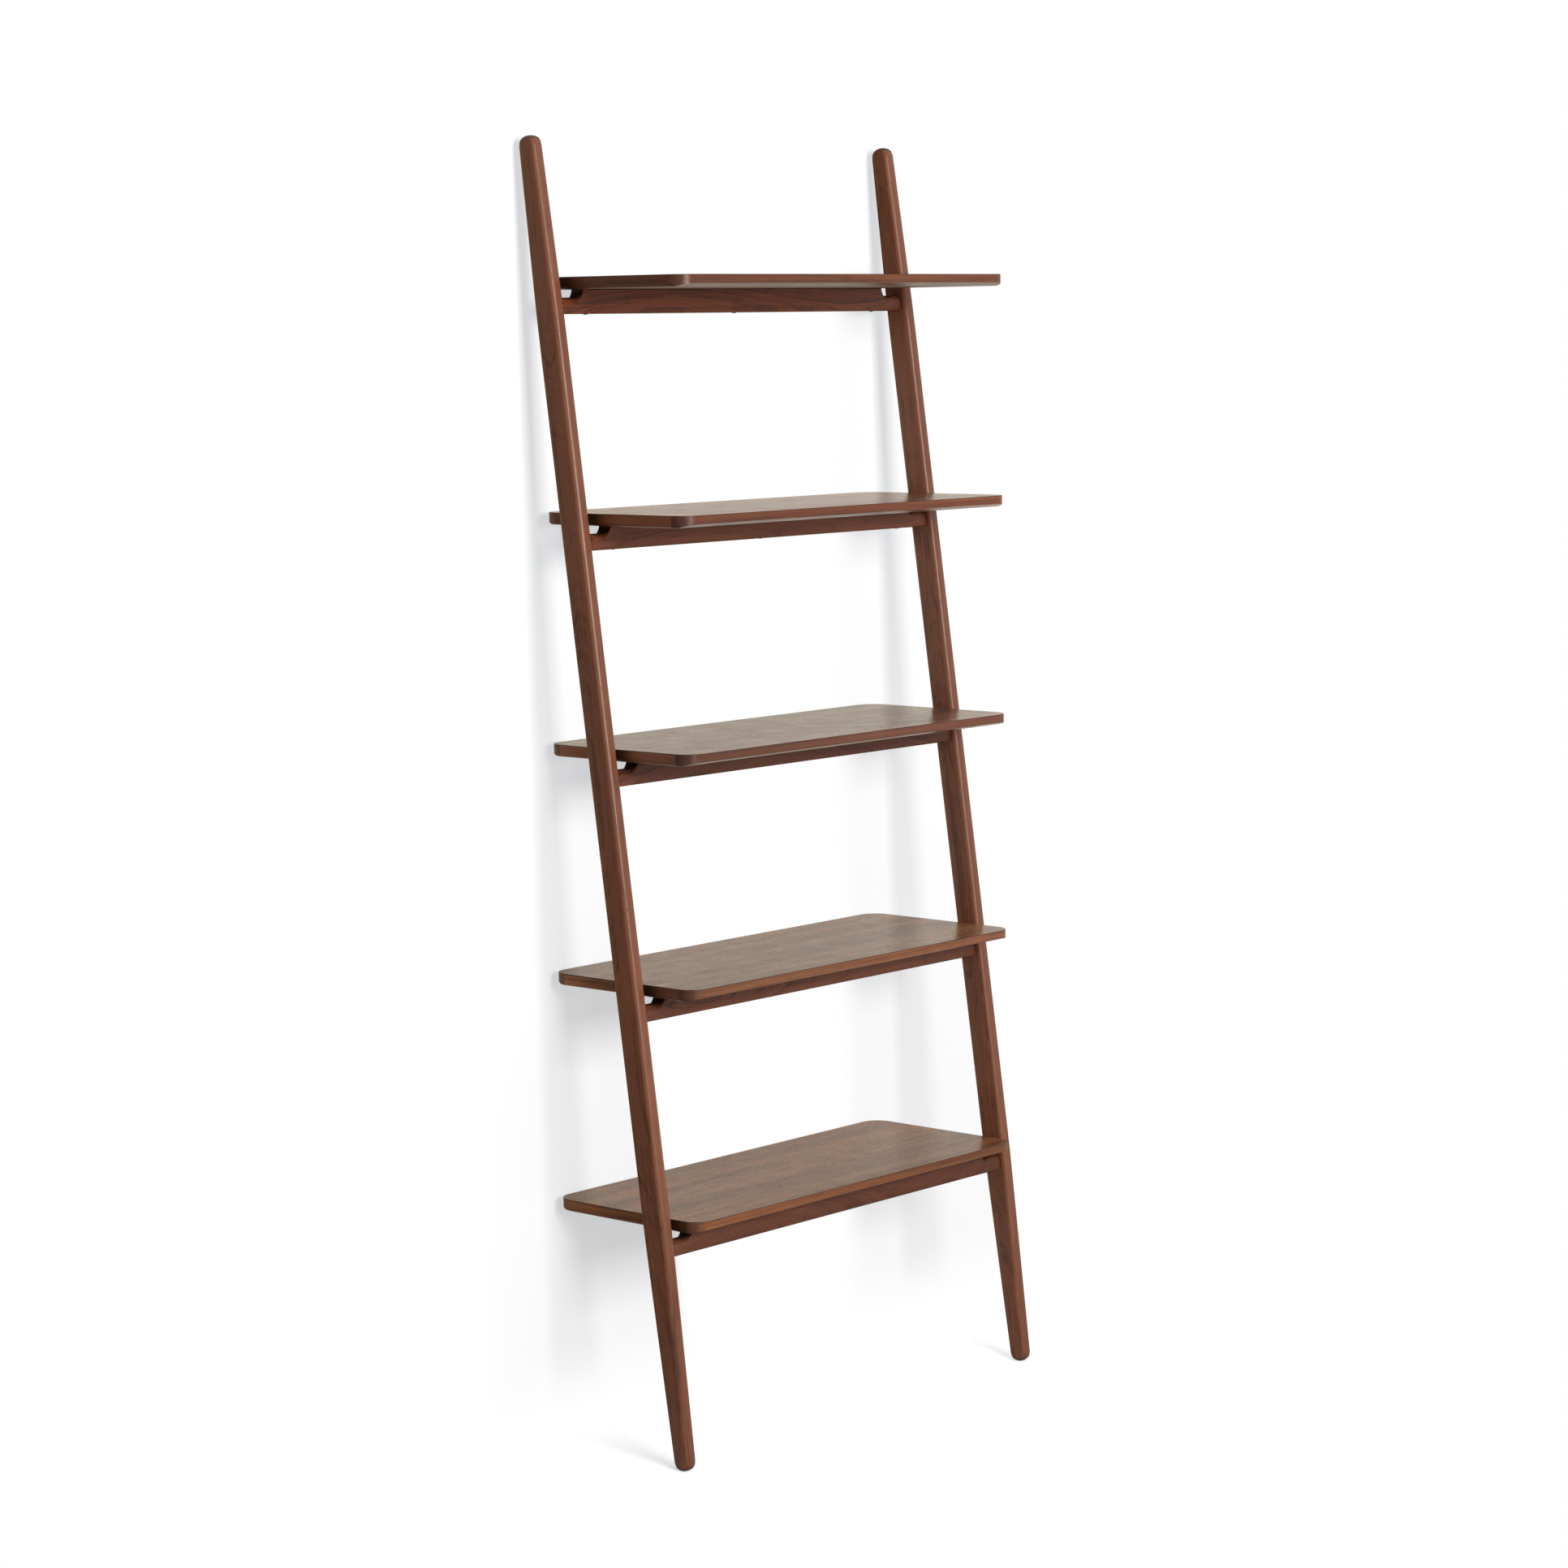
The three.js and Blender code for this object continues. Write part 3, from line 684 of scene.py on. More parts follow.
# %% [markdown]
# ## Where the boards, rails and stiles are
# Every place comes from the boxes of the CAD nodes. The rails give the lean of the stiles,
# because each rail's round end enters the middle of a stile.

# %% Read the places
def low(node):
    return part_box(node)[0]


def high(node):
    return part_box(node)[1]


numbers = range(1, shelf_count + 1)
rail_thickness = high("rail_1").y - low("rail_1").y
round_radius = rail_thickness / 2
rail_line = {
    n: Vector((0, (low(f"rail_{n}").y + high(f"rail_{n}").y) / 2, low(f"rail_{n}").z + round_radius))
    for n in numbers
}
climb = rail_line[shelf_count] - rail_line[1]
lean = math.atan2(climb.y, climb.z)
stile_way = Vector((0, math.sin(lean), math.cos(lean)))
stile_side = Vector((0, math.cos(lean), -math.sin(lean)))
floor_point = rail_line[1] - stile_way * (rail_line[1].z / stile_way.z)
stile_height = high("left_stile").z
stile_thickness = high("left_stile").x - low("left_stile").x
print("lean:", round(math.degrees(lean), 2), "degrees; height:", round(stile_height, 4), "m")

# %% [markdown]
# ## The stiles
# Each stile is a slim rectangle with well-rounded edges. Near the top and the foot it grows
# shallower, and it ends in a blunt dome, round which the soft edges run on. The rings follow
# the stile's own line. The tapers start with a soft curve rather than a corner, which is how a
# spokeshave leaves them. Round sockets for the rails are drilled in the inner face, with the
# mouth of each one eased.

# %% The stile's section along its length
overall_height = 2.0
stile_depth = 0.0454
stile_arris = 0.0076
stile_top_depth = 0.0346
stile_foot_depth = 0.0315
top_taper = 0.275
foot_taper = 0.350
foot_flat = 0.0005
dome_length = 0.020
dome_fullness = 2.5
taper_ease = 0.045


def dome_share(distance, length, fullness):
    """How much of its full half size a domed end has, at a distance from its tip."""
    if distance >= length:
        return 1.0
    return (1 - (1 - distance / length) ** fullness) ** (1 / fullness)


def dome_reach(half_depth):
    """How far a dome reaches upright from the middle of its base, at the stile's lean."""
    power = dome_fullness / (dome_fullness - 1)
    along = (dome_length * math.cos(lean)) ** power
    aside = (half_depth * math.sin(lean)) ** power
    return (along + aside) ** (1 / power)


def eased_taper(distance, length, end_depth):
    """The depth at a distance from a tip: straight taper, then a soft turn to the full depth."""
    slope = (stile_depth - end_depth) / (length - dome_length)
    beyond = distance - length
    if beyond >= taper_ease:
        return stile_depth
    if beyond <= -taper_ease:
        return max(end_depth, stile_depth + slope * beyond)
    return stile_depth - slope * (taper_ease - beyond) ** 2 / (4 * taper_ease)


def stile_ring(from_foot, from_top):
    """The section of a stile, from its distances to both tips."""
    depth = min(
        eased_taper(from_foot, foot_taper, stile_foot_depth),
        eased_taper(from_top, top_taper, stile_top_depth),
    )
    from_end = min(from_foot, from_top)
    half_depth = depth / 2 * dome_share(from_end, dome_length, dome_fullness)
    closing = stile_arris * (1 - dome_share(from_end, stile_arris, 2))
    half_thickness = stile_thickness / 2 - closing
    arris = min(stile_arris, 0.97 * half_thickness, 0.97 * half_depth)
    return rounded_rectangle(half_thickness, half_depth, arris, arris, 9)


# %% Build the stiles
def stile_stations(foot_tip, top_tip):
    """Where along its own line a stile gets a ring: close together at the domes and tapers."""
    steps = 18
    arcs = [dome_length * (1 - math.cos(i / steps * math.pi / 2)) for i in range(1, steps + 1)]
    stations = [foot_tip + arc for arc in arcs]
    stations += [foot_tip + dome_length + 0.0185 * i for i in range(1, 22)]
    start = stations[-1]
    end = top_tip - top_taper - 0.06
    stations += [start + (end - start) * i / 16 for i in range(1, 17)]
    stations += [end + (top_tip - dome_length - end) * i / 18 for i in range(1, 19)]
    stations += [top_tip - arc for arc in arcs[-2::-1]]
    return stations


def build_stile(name, node, side, log):
    centre_x = (low(node).x + high(node).x) / 2
    foot_tip = (dome_reach(stile_foot_depth / 2) - foot_flat) / math.cos(lean) - dome_length
    top_tip = (overall_height - dome_reach(stile_top_depth / 2)) / math.cos(lean) + dome_length
    rings = []
    for at in stile_stations(foot_tip, top_tip):
        centre = floor_point + stile_way * at + Vector((centre_x, 0, 0))
        outline = stile_ring(at - foot_tip, top_tip - at)
        rings.append([centre + Vector((x, 0, 0)) + stile_side * y for x, y in outline])
    skin = loft(rings)
    saw(skin, (0, 0, 0), (0, 0, -1))
    skin = drill(skin, [socket(n, centre_x, side) for n in numbers])
    grain = (Vector((centre_x, 0, 0)) + floor_point, stile_way, stile_side, log)
    return make_piece(name, skin, [stile_walnut], node, grain)


def socket(n, centre_x, side):
    """The drill that makes one rail's socket, with a flared mouth."""
    inner_face = abs(centre_x - side * stile_thickness / 2)
    play = 0.0003
    mouth = 0.0006
    past = 0.002
    sizes = (
        (abs(high(f"rail_{n}").x) + play, round_radius + play),
        (inner_face + mouth, round_radius + play),
        (inner_face - past, round_radius + play + mouth + past),
    )
    centre = rail_line[n]
    return loft([circle_along_x(side * x, centre.y, centre.z, radius, 48) for x, radius in sizes])


def circle_along_x(x, y, z, radius, count):
    turns = [2 * math.pi * i / count for i in range(count)]
    return [(x, y + radius * math.cos(turn), z + radius * math.sin(turn)) for turn in turns]


left_stile = build_stile("stile_left", "left_stile", -1, left_stile_log)
build_stile("stile_right", "right_stile", 1, log_place(12, 0.02, 0.01))
print("stile faces:", len(left_stile.data.polygons))

# %% [markdown]
# ## The rails
# A rail is a rectangle along most of its length and a round peg at each end. The cutter leaves
# a hollow curve where the rail's top drops to the neck. The upper corners turn round over a
# longer way than that, so the front face flows into the neck without a step, and the lower ones
# run on to the shoulder that bears on the stile.

# %% Build the rails
rail_lower_arris = 0.003
rail_upper_arris = 0.0008
notch_inset = 0.0355
notch_length = 0.012
notch_blend = 0.016
shoulder_gap = 0.0001
shoulder_bevel = 0.0003
peg_chamfer = 0.001
seat_radius = 0.0038
seat_depth = 0.0004
screw_spots = ("left", "middle", "right")
# Each rail's cast is partly its own tone and partly painted light and shade.
rail_tone_and_light_casts = [
    (0.76, 0.74, 0.66), (0.90, 0.92, 0.88), (0.81, 0.79, 0.80), (1.05, 0.97, 0.86), (1.14, 0.92, 0.65),
]


def rail_sections(square_end, shoulder, peg_end):
    """Places along half a rail: how far the top has dropped, how round the upper and the lower
    corners are, and the peg's size."""
    steps = 24
    half = [(share * square_end, 0.0, 0.0, 0.0, 1.0) for share in (0.0, 0.5, 1.0)]
    places = [notch_length * (1 - math.cos(i / steps * math.pi / 2)) for i in range(1, steps + 1)]
    places += [notch_length + (notch_blend - notch_length) * i / 6 for i in range(1, 7)]
    for place in places:
        left = max(0.0, 1 - place / notch_length)
        share = place / notch_blend
        turned = share**2 * (3 - 2 * share)
        half.append((square_end + place, math.sqrt(1 - left**2), turned, 0.0, 1.0))
    half.append((shoulder - shoulder_bevel, 1.0, 1.0, 0.0, 1.0))
    half.append((shoulder, 1.0, 1.0, 1.0, 1.0))
    half.append((peg_end - peg_chamfer, 1.0, 1.0, 1.0, 1.0))
    half.append((peg_end, 1.0, 1.0, 1.0, 1 - peg_chamfer / round_radius))
    return half


def screw_seat(screw, bottom):
    """The drill that cuts the shallow seat of one screw's head into the rail's lower face."""
    spot = (low(screw) + high(screw)) / 2
    levels = (bottom - 0.001, bottom + seat_depth)
    return loft([circle_along_z(spot.x, spot.y, z, seat_radius, 36) for z in levels])


def circle_along_z(x, y, z, radius, count):
    turns = [2 * math.pi * i / count for i in range(count)]
    return [(x + radius * math.cos(turn), y + radius * math.sin(turn), z) for turn in turns]


def build_rail(n):
    node = f"rail_{n}"
    bottom = low(node).z
    full_height = high(node).z - bottom
    half_width = high(f"shelf_{n}_top_veneer").x
    shoulder = low("right_stile").x - shoulder_gap
    half = rail_sections(half_width - notch_inset, shoulder, high(node).x)
    mirrored = [(-x, *rest) for x, *rest in half[:0:-1]]
    rings = []
    for x, dropped, upper_turned, lower_turned, size in mirrored + half:
        height = full_height + (rail_thickness - full_height) * dropped
        lower = rail_lower_arris + (round_radius - rail_lower_arris) * lower_turned
        upper = rail_upper_arris + (round_radius - rail_upper_arris) * upper_turned
        halves = (round_radius * size, height / 2 * size)
        outline = rounded_rectangle(*halves, lower * size, upper * size, 9)
        middle = bottom + height / 2
        rings.append([(x, rail_line[n].y + y, middle + z) for y, z in outline])
    seats = [screw_seat(f"rail_{n}_{spot}_screw", bottom) for spot in screw_spots]
    skin = drill(loft(rings), seats)
    log = log_place(20 + n, 0.012, 0.01)
    # The cast carries painted light and shade as well as the rail's tone.
    grain = (rail_line[n], Vector((1, 0, 0)), Vector((0, 0, 1)), log, rail_tone_and_light_casts[n - 1])
    return make_piece(f"rung_{n}", skin, [rail_walnut], node, grain)


rails = [build_rail(n) for n in numbers]
print("rail faces:", len(rails[0].data.polygons))

# %% [markdown]
# ## The shelf boards
# A board is a veneered panel with solid walnut edges. Its corners are round from above, its
# lower edge is rounded at the sides and back, and the front edge is undercut so that it looks
# thin. The whole board is shaped first and then sawn into its pieces at the joints, just as
# the CAD part is, so that rounds and undercut run on from one piece to the next.

# %% Shape a whole board
corner_radius = 0.031
lower_round = 0.0045
top_arris = 0.0005
front_face = 0.0128
undercut_depth = 0.0206
undercut_rise = 0.0053
undercut_round = 0.003


def board_ring(half_width, front, back, inset, z):
    corner = corner_radius - inset
    half_depth = (back - front) / 2 - inset
    outline = rounded_rectangle(half_width - inset, half_depth, corner, corner, 18)
    return [(x, y + (front + back) / 2, z) for x, y in outline]


def undercut_planes(front, top, bottom):
    """The cuts that round the front face over into the undercut: a point and a way out each."""
    slope = undercut_rise / undercut_depth
    corner = Vector((0, front, bottom + undercut_rise))
    start = Vector((0, front, top - front_face))
    turn = corner + Vector((0, undercut_round, -undercut_round * slope))
    planes = []
    for share in (0.12, 0.3, 0.5, 0.7, 0.88, 1.0):
        a = start.lerp(corner, share)
        b = corner.lerp(turn, share)
        way = (b - a) if share < 1 else (turn - corner)
        planes.append((a.lerp(b, share), Vector((0, way.z, -way.y)).normalized()))
    return planes


def build_board(n):
    half_width = high(f"shelf_{n}_top_veneer").x
    top = high(f"shelf_{n}_top_veneer").z
    bottom = low(f"shelf_{n}_core").z
    front = low(f"shelf_{n}_front_lipping").y
    back = high(f"shelf_{n}_back_lipping").y
    levels = []
    for i in range(9):
        angle = i / 8 * math.pi / 2
        rise = lower_round * (1 - math.cos(angle))
        levels.append((lower_round * (1 - math.sin(angle)), bottom + rise))
    for i in range(4):
        angle = i / 3 * math.pi / 2
        drop = top_arris * (1 - math.sin(angle))
        levels.append((top_arris * (1 - math.cos(angle)), top - drop))
    skin = loft([board_ring(half_width, front, back, inset, z) for inset, z in levels])
    for point, outward in undercut_planes(front, top, bottom):
        saw(skin, point, outward)
    return skin


# %% Saw a board into its pieces
# Each board's cast is partly its own tone and partly painted light and shade. On top of it the left
# edges and the tops get painted shade board by board, and the left and front edges a painted gradient
# of light and shade from end to end.
board_tone_and_light_casts = [
    (1.10, 1.20, 0.97), (1.16, 1.36, 1.33), (0.82, 0.91, 1.08), (0.90, 0.82, 0.74), (0.87, 0.82, 0.64),
]
left_edge_painted_shades = [0.86, 0.8, 1.0, 0.92, 0.58]
left_edge_painted_light_drifts = [(1.0, 1.35), (0.95, 1.95), (0.9, 1.85), (1.0, 0.95), (1.0, 1.1)]
top_painted_shades = [0.94, 0.86, 0.96, 1.0, 1.0]
front_edge_painted_light_drifts = [(0.98, 0.85), (0.66, 1.12), (0.72, 0.93), (0.74, 1.0), (1.0, 0.94)]


def sawn_piece(board, node):
    """The part of a whole board inside a CAD node's box."""
    part = board.copy()
    for corner, sign in ((low(node), -1), (high(node), 1)):
        for axis in range(3):
            outward = Vector((0, 0, 0))
            outward[axis] = sign
            saw(part, corner, outward)
    return part


def build_shelf(n):
    board = build_board(n)
    wide = Vector((1, 0, 0))
    deep = Vector((0, 1, 0))
    pieces = []
    for i, (piece, way, across, finishes, slot) in enumerate((
        ("top_veneer", wide, deep, [veneer_walnut, veneer_rim_walnut], "veneer_walnut"),
        ("core", wide, deep, [core_walnut], "board_core"),
        ("front_lipping", wide, deep, [lipping_walnut], "lipping_walnut"),
        ("back_lipping", wide, deep, [lipping_walnut], "lipping_walnut"),
        ("left_lipping", deep, -wide, [lipping_walnut], "lipping_walnut"),
        ("right_lipping", deep, -wide, [lipping_walnut], "lipping_walnut"),
    )):
        node = f"shelf_{n}_{piece}"
        centre = (low(node) + high(node)) / 2
        # Painted light and shade: the left edges and tops take their board's painted shade, and the
        # left and front edges their painted gradient of light and shade.
        shades = {"left_lipping": left_edge_painted_shades, "top_veneer": top_painted_shades}.get(piece)
        drifts = {"left_lipping": left_edge_painted_light_drifts, "front_lipping": front_edge_painted_light_drifts}.get(piece)
        cast = [part * (shades[n - 1] if shades else 1) for part in board_tone_and_light_casts[n - 1]]
        drift = drifts[n - 1] if drifts else (1, 1)
        cut = 0.35 if piece == "back_lipping" else 1.0
        grain = (centre, way, across, log_place(100 * n + i, 0.04, 0.015), cast, drift, cut)
        made = make_piece(f"board_{n}_{piece}", sawn_piece(board, node), finishes, node, grain)
        pieces.append(made)
    for face in pieces[0].data.polygons:
        face.material_index = 0 if face.normal.z > 0.9 else 1
    board.free()
    return pieces


boards = [build_shelf(n) for n in numbers]
print("board pieces:", sum(len(pieces) for pieces in boards))

# %% [markdown]
# ## Screws
# Each rail hangs from its board on three pan-head screws, driven up from below. The head sits in
# a shallow seat and stands a millimetre out of the rail. It is turned, with a hexagon socket sunk
# in it, and the tip of the shank has a real thread: the radius of each ring point follows a helix.

# %% Build the screws
def hexagon_radius(angle, radius):
    """The radius of a hexagon's edge at an angle, for a hexagon with that corner radius."""
    sector = math.radians(60)
    off = (angle % sector) - sector / 2
    return radius * math.cos(sector / 2) / math.cos(off)


def turned_ring(radius_at, z, count=36):
    ring = []
    for i in range(count):
        angle = 2 * math.pi * i / count
        radius = radius_at(angle)
        ring.append((radius * math.cos(angle), radius * math.sin(angle), z))
    return ring


def screw_skin(head, head_height, shank, length, thread_start):
    """A pan-head screw, point up. Its head bears at z 0."""
    bearing = 0.0001
    radius = head / 2
    socket_size = 0.44 * radius
    rings = [
        turned_ring(lambda a: hexagon_radius(a, socket_size) * 0.2, -0.3 * head_height),
        turned_ring(lambda a: hexagon_radius(a, socket_size), -0.35 * head_height),
        turned_ring(lambda a: hexagon_radius(a, socket_size), -0.94 * head_height),
        turned_ring(lambda a: hexagon_radius(a, socket_size) * 1.06, -head_height),
    ]
    pan = ((0.62, 1.0), (0.76, 0.96), (0.87, 0.83), (0.95, 0.6), (0.99, 0.35), (1.0, 0.2))
    for share, height in pan:
        rings.append(turned_ring(lambda a: radius * share, -height * head_height))
    rings.append(turned_ring(lambda a: radius, -bearing))
    rings.append(turned_ring(lambda a: shank / 2, -bearing))
    pitch = 0.0024
    z = thread_start
    while z < length - 0.0003:
        narrowing = min(1.0, (length - z) / (1.5 * shank))
        rings.append(turned_ring(lambda a: thread_radius(a, z, pitch, shank / 2) * narrowing, z))
        z += pitch / 7
    return loft(rings)


def thread_radius(angle, z, pitch, radius):
    """The radius of a threaded shank: a sharp ridge that climbs round it."""
    turn = (z / pitch - angle / (2 * math.pi)) % 1.0
    ridge = max(0.0, 1 - abs(turn - 0.5) * 4)
    return radius * (0.72 + 0.28 * ridge)


def place_screw(name, node, sizes):
    centre = (low(node) + high(node)) / 2
    base = low(node).z + sizes[1]
    skin = screw_skin(*sizes)
    where = (centre.x, centre.y, base)
    return make_piece(name, skin, [dark_screw_steel], node, place=where, crease=40)


rail_screw_head = 0.007
rail_screw_head_height = 0.0014
rail_screw_shank = 0.004
rail_screw_length = high("rail_1_left_screw").z - low("rail_1_left_screw").z - rail_screw_head_height
rail_screw = (rail_screw_head, rail_screw_head_height, rail_screw_shank, rail_screw_length, 0.024)
screws = []
for n in numbers:
    for spot in screw_spots:
        screws.append(place_screw(f"fixing_{n}_{spot}", f"rail_{n}_{spot}_screw", rail_screw))
print("rail screws:", len(screws))

# %% [markdown]
# ## Wall brackets
# Two small steel angles fix the highest board to the wall. Each is a strip with rounded
# corners, bent once, so it is lofted along its own length with a ring for every step round
# the bend, and then drilled.

# %% Build the brackets
sheet = 0.0025
leaf_corner = 0.005
bend_radius = 0.0025
wall_leaf = 0.030
fixing_head = 0.007
fixing_head_height = 0.0012
fixing_shank = 0.0035
fixing_hole = 0.00205
wall_hole = 0.0025


def strip_ring(point, outward, half_width):
    """A ring of the bracket's strip: flat, with small softened edges."""
    outline = rounded_rectangle(half_width, sheet / 2, 0.0004, 0.0004, 3)
    return [point + Vector((x, 0, 0)) + outward * t for x, t in outline]


def leaf_half_width(from_end, half_width):
    if from_end >= leaf_corner:
        return half_width
    return half_width - leaf_corner + math.sqrt(leaf_corner**2 - (leaf_corner - from_end) ** 2)


def build_bracket(name, node):
    lowest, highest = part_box(node)
    centre_x = (lowest.x + highest.x) / 2
    half_width = (highest.x - lowest.x) / 2
    middle = bend_radius + sheet / 2
    flat_z = highest.z - sheet / 2
    wall_y = highest.y - sheet / 2
    leaf = wall_y - middle - lowest.y
    drop = flat_z - middle - lowest.z
    rings = []
    for from_end in corner_steps():
        point = Vector((centre_x, lowest.y + from_end, flat_z))
        rings.append(strip_ring(point, Vector((0, 0, 1)), leaf_half_width(from_end, half_width)))
    for i in range(11):
        angle = i / 10 * math.pi / 2
        outward = Vector((0, math.sin(angle), math.cos(angle)))
        pivot = Vector((centre_x, lowest.y + leaf, flat_z - middle))
        rings.append(strip_ring(pivot + outward * middle, outward, half_width))
    for from_end in corner_steps()[::-1]:
        point = Vector((centre_x, wall_y, lowest.z + from_end))
        rings.append(strip_ring(point, Vector((0, 1, 0)), leaf_half_width(from_end, half_width)))
    skin = drill(loft(rings), bracket_drills(node, centre_x, highest))
    return make_piece(name, skin, [bracket_steel], node)


def corner_steps():
    return [leaf_corner * (1 - math.cos(i / 10 * math.pi / 2)) for i in range(11)]


def bracket_drills(node, centre_x, highest):
    """Two screw holes in the upper leaf and one in the leaf against the wall."""
    bits = []
    ends = (-2 * sheet, sheet)
    for i in (1, 2):
        screw = f"{node}_screw_{i}"
        spot = (low(screw) + high(screw)) / 2
        ring = turned_ring(lambda a: fixing_hole, 0)
        bits.append(loft([
            [(spot.x + x, spot.y + y, highest.z + z) for x, y, _ in ring] for z in ends
        ]))
    hole_z = highest.z - (wall_leaf + sheet) / 2
    ring = turned_ring(lambda a: wall_hole, 0)
    bits.append(loft([
        [(centre_x + x, highest.y + y, hole_z + z) for x, z, _ in ring] for y in ends
    ]))
    return bits


for side in ("left", "right"):
    build_bracket(f"angle_{side}", f"{side}_wall_bracket")
    for i in (1, 2):
        node = f"{side}_wall_bracket_screw_{i}"
        length = high(node).z - low(node).z - fixing_head_height
        sizes = (fixing_head, fixing_head_height, fixing_shank, length, 0.0035)
        place_screw(f"angle_{side}_fixing_{i}", node, sizes)
print("brackets: 2")

# %% [markdown]
# ## The studio
# A white floor meets a white wall just behind the boards. The camera sees both as white that
# takes shadows: some glow, and a paint lit like anything else. The glow is a little cool and
# the paint a little warm, so shadows turn bluish. All other rays meet a duller paint and a weak
# glow. The floor's are even, and they light the rails and undersides from below. The wall's
# change over its width and height, to set how light each board looks. No real wall does that,
# and it is tuned for these boards under these lamps only.
#
# A mask says where the shadows show: beside the stiles and round the feet, but not in the open
# middle, which stays clean. On the wall it suits this one camera: the shade beside a stile ends
# where the stile hides it, and five spots lie in line with the windows of the left notches. From
# another side these patches have nothing to cause them. The wall is clear from behind, so the
# part's back can be seen.

# %% Where shadows show
wall_y = 0.012
sight_slope = 1.12  # to the right for each metre towards the wall, along the camera's sight
window_inset = 0.012  # from a board's end to the middle of its notch's window
window_rise = 0.02  # from the rail's round end up to that middle


def wall_mask(tree, place):
    """1 where a stile's shadow falls on the wall, up to the stile that hides its edge."""
    x, _, z = split(tree, place)
    to_stile = minus(tree, wall_y - floor_point.y, times(tree, z, math.tan(lean)))
    hidden = minus(tree, x, times(tree, to_stile, sight_slope))
    mask = 0.0
    for begin, full, fade, gone in ((-0.54, -0.47, -0.42, -0.39), (0.30, 0.39, 0.40, 0.43)):
        beside = times(tree, soften(tree, x, begin, full), soften(tree, hidden, fade, gone, 1.0, 0.0))
        mask = sum_of(tree, "MAXIMUM", mask, beside)
    for n in numbers:
        end = low(f"shelf_{n}_top_veneer").x
        window = rail_line[n] + Vector((end + window_inset, 0, window_rise))
        sight = window - camera.location
        spot = camera.location + sight * ((wall_y - camera.location.y) / sight.y)
        distance = length_of(tree, "DISTANCE", place, spot)
        mask = sum_of(tree, "MAXIMUM", mask, soften(tree, distance, 0.016, 0.034, 1.0, 0.0))
    return times(tree, mask, soften(tree, z, 0.02, 0.14))


def floor_mask(tree, place):
    """1 round the feet, 0 elsewhere."""
    mask = 0.0
    for node in ("left_stile", "right_stile"):
        spot = Vector(((low(node).x + high(node).x) / 2, floor_point.y + 0.07, 0))
        distance = length_of(tree, "DISTANCE", place, spot)
        mask = sum_of(tree, "MAXIMUM", mask, soften(tree, distance, 0.08, 0.24, 1.0, 0.0))
    return mask


def wall_bounce(tree, place):
    """The wall's paint for all other rays, darker to the left of the part and over its boards."""
    x, _, z = split(tree, place)
    above = soften(tree, z, 1.5, 1.9, 1.0, soften(tree, x, -0.4, -0.2, 1.0, 0.3))
    return times(tree, soften(tree, x, -0.5, -0.3, 0.2, 0.8), above)


def wall_shine(tree, place):
    """The wall's glow in reflections. It rises to the right and up to the highest board."""
    x, _, z = split(tree, place)
    above = soften(tree, z, 1.5, 1.85, 1.0, soften(tree, x, -0.4, -0.2, 1.2, 0.0))
    upwards = times(tree, soften(tree, z, 0.4, 1.45, 0.03, 0.27), above)
    return times(tree, upwards, soften(tree, x, -0.4, 0.4, 0.9, 1.13))


def wall_glow(tree, place):
    """The wall's glow for the camera inside the mask, a little weaker near the floor."""
    z = split(tree, place)[2]
    return tint(tree, soften(tree, z, 0.2, 1.6), (0.487, 0.50, 0.515, 1), (0.54, 0.56, 0.58, 1))


# %% Floor and wall finish
def studio_white(name, mask_of, glow_of, paint, hue, bounce_of, lifts_of):
    """White for the camera where the mask is 0, glow plus paint where it is 1. All other rays meet
    the paint of bounce_of and the first glow of lifts_of, and glossy rays its second where that is
    stronger."""
    finish, tree = new_finish(name)
    finish.cycles.emission_sampling = "NONE"
    place = add(tree, "TexCoord").outputs["Object"]
    mask = mask_of(tree, place)
    rays = add(tree, "LightPath").outputs
    light = add(tree, "Emission", {"Color": tint(tree, mask, (1, 1, 1, 1), glow_of(tree, place))})
    shadow_paint = add(tree, "BsdfDiffuse", {"Color": tint(tree, mask, (0, 0, 0, 1), paint)})
    shown = add(tree, "AddShader", {0: light.outputs[0], 1: shadow_paint.outputs[0]})
    bounce = tint(tree, bounce_of(tree, place), (0, 0, 0, 1), hue)
    plain = add(tree, "BsdfDiffuse", {"Color": bounce})
    dull, bright = [lift_of(tree, place) for lift_of in lifts_of]
    bright = times(tree, bright, rays["Is Glossy Ray"])
    lift = sum_of(tree, "MAXIMUM", bright, dull)
    lifted = add(tree, "Emission", {"Color": hue, "Strength": lift})
    other = add(tree, "AddShader", {0: plain.outputs[0], 1: lifted.outputs[0]}).outputs[0]
    front = add(tree, "MixShader", {0: rays["Is Camera Ray"], 1: other, 2: shown.outputs[0]})
    behind = add(tree, "NewGeometry").outputs["Backfacing"]
    clear = add(tree, "BsdfTransparent")
    both = add(tree, "MixShader", {0: behind, 1: front.outputs[0], 2: clear.outputs[0]})
    add(tree, "OutputMaterial", {"Surface": both.outputs[0]})
    return finish


def sheet_of(name, corners, finish):
    data = bpy.data.meshes.new(name)
    data.from_pydata(corners, [], [(0, 1, 2, 3)])
    data.materials.append(finish)
    made = bpy.data.objects.new(name, data)
    bpy.context.scene.collection.objects.link(made)
    return made


def even(level):
    return lambda tree, place: level


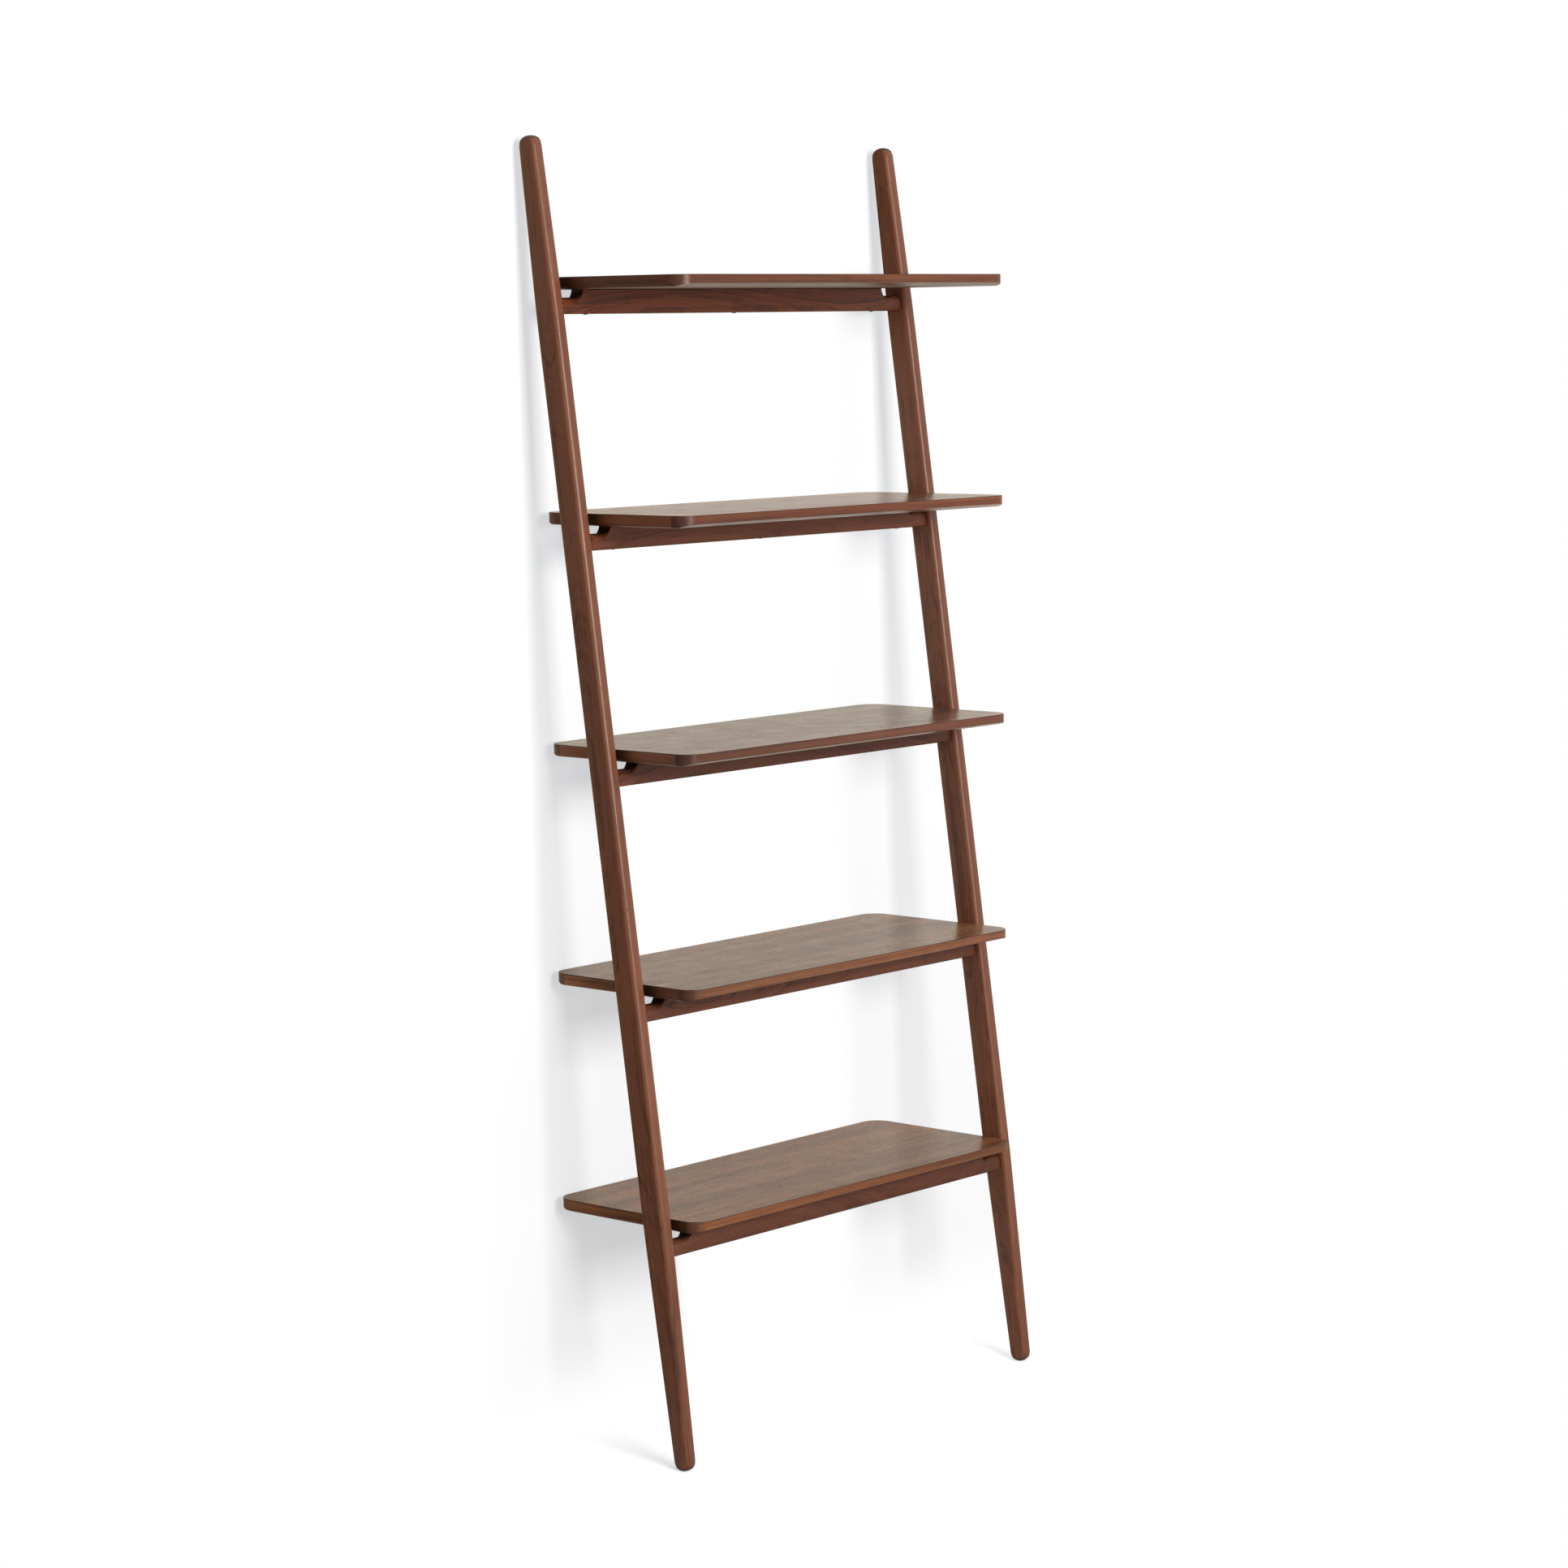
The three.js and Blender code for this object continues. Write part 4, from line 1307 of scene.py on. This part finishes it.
studio_floor_white = studio_white(
    "studio floor white", floor_mask, glow_of=even((0.43, 0.45, 0.48, 1)),
    paint=(0.98, 0.97, 0.96, 1), hue=(1, 1, 1, 1), bounce_of=even(0.35),
    lifts_of=(even(0.12), even(0.26)),
)
studio_wall_white = studio_white(
    "studio wall white", wall_mask, glow_of=wall_glow,
    paint=(0.53, 0.52, 0.505, 1), hue=(1.02, 0.965, 0.85, 1), bounce_of=wall_bounce,
    lifts_of=(even(0.0), wall_shine),
)
floor_corners = [(-12, -12, 0), (12, -12, 0), (12, wall_y + 8, 0), (-12, wall_y + 8, 0)]
wall_corners = [(-12, wall_y, 0), (12, wall_y, 0), (12, wall_y, 9), (-12, wall_y, 9)]
sheet_of("studio_floor", floor_corners, studio_floor_white)
studio_wall = sheet_of("studio_wall", wall_corners, studio_wall_white)
studio_wall.visible_shadow = False
print("wall faces", tuple(round(v) for v in studio_wall.data.polygons[0].normal))

# %% [markdown]
# ## Light
# One large soft source in front, to the left and a little above, and a weak fill from all
# round, stronger from above. The fill is the world's own light. Seen by the camera or in a
# reflection the world is plain white, so that the picture's edges are white too.

# %% Lamp, world and view
def soft_lamp(name, heading, height, distance, width, tall, level):
    """A square softbox that faces the shelf. level 1 lights a facing surface as it is written."""
    middle = Vector((0, -0.15, 1.0))
    turn, rise = math.radians(heading), math.radians(height)
    level_way = Vector((math.sin(turn), -math.cos(turn), 0)) * math.cos(rise)
    away = level_way + Vector((0, 0, math.sin(rise)))
    lamp = bpy.data.lights.new(name, "AREA")
    lamp.shape = "RECTANGLE"
    lamp.size = width
    lamp.size_y = tall
    lamp.energy = level * math.pi**2 * distance**2
    made = bpy.data.objects.new(name, lamp)
    made.location = middle + away * distance
    made.rotation_euler = (-away).to_track_quat("-Z", "Y").to_euler()
    made.visible_camera = False
    bpy.context.scene.collection.objects.link(made)
    return made


soft_lamp("key_softbox", heading=-18, height=13.5, distance=6.0, width=2.0, tall=2.2, level=0.75)

world = bpy.data.worlds.new("studio_world")
bpy.context.scene.world = world
world.use_nodes = True
world.cycles.sampling_method = "NONE"
tree = world.node_tree
tree.nodes.clear()
rays = add(tree, "LightPath").outputs
seen = sum_of(tree, "MAXIMUM", rays["Is Camera Ray"], rays["Is Glossy Ray"])
seen = sum_of(tree, "MAXIMUM", seen, rays["Is Transmission Ray"])
up = split(tree, add(tree, "TexCoord").outputs["Generated"])[2]
fill = soften(tree, up, 0.1, 1.0, 0.12, 0.85)
strength = sum_of(tree, "MAXIMUM", seen, fill)
sky = add(tree, "Background", {"Color": (1, 1, 1, 1), "Strength": strength})
add(tree, "OutputWorld", {"Surface": sky.outputs[0]})
bpy.context.scene.view_settings.view_transform = "Standard"
print("lamps:", [lamp.name for lamp in bpy.data.lights])
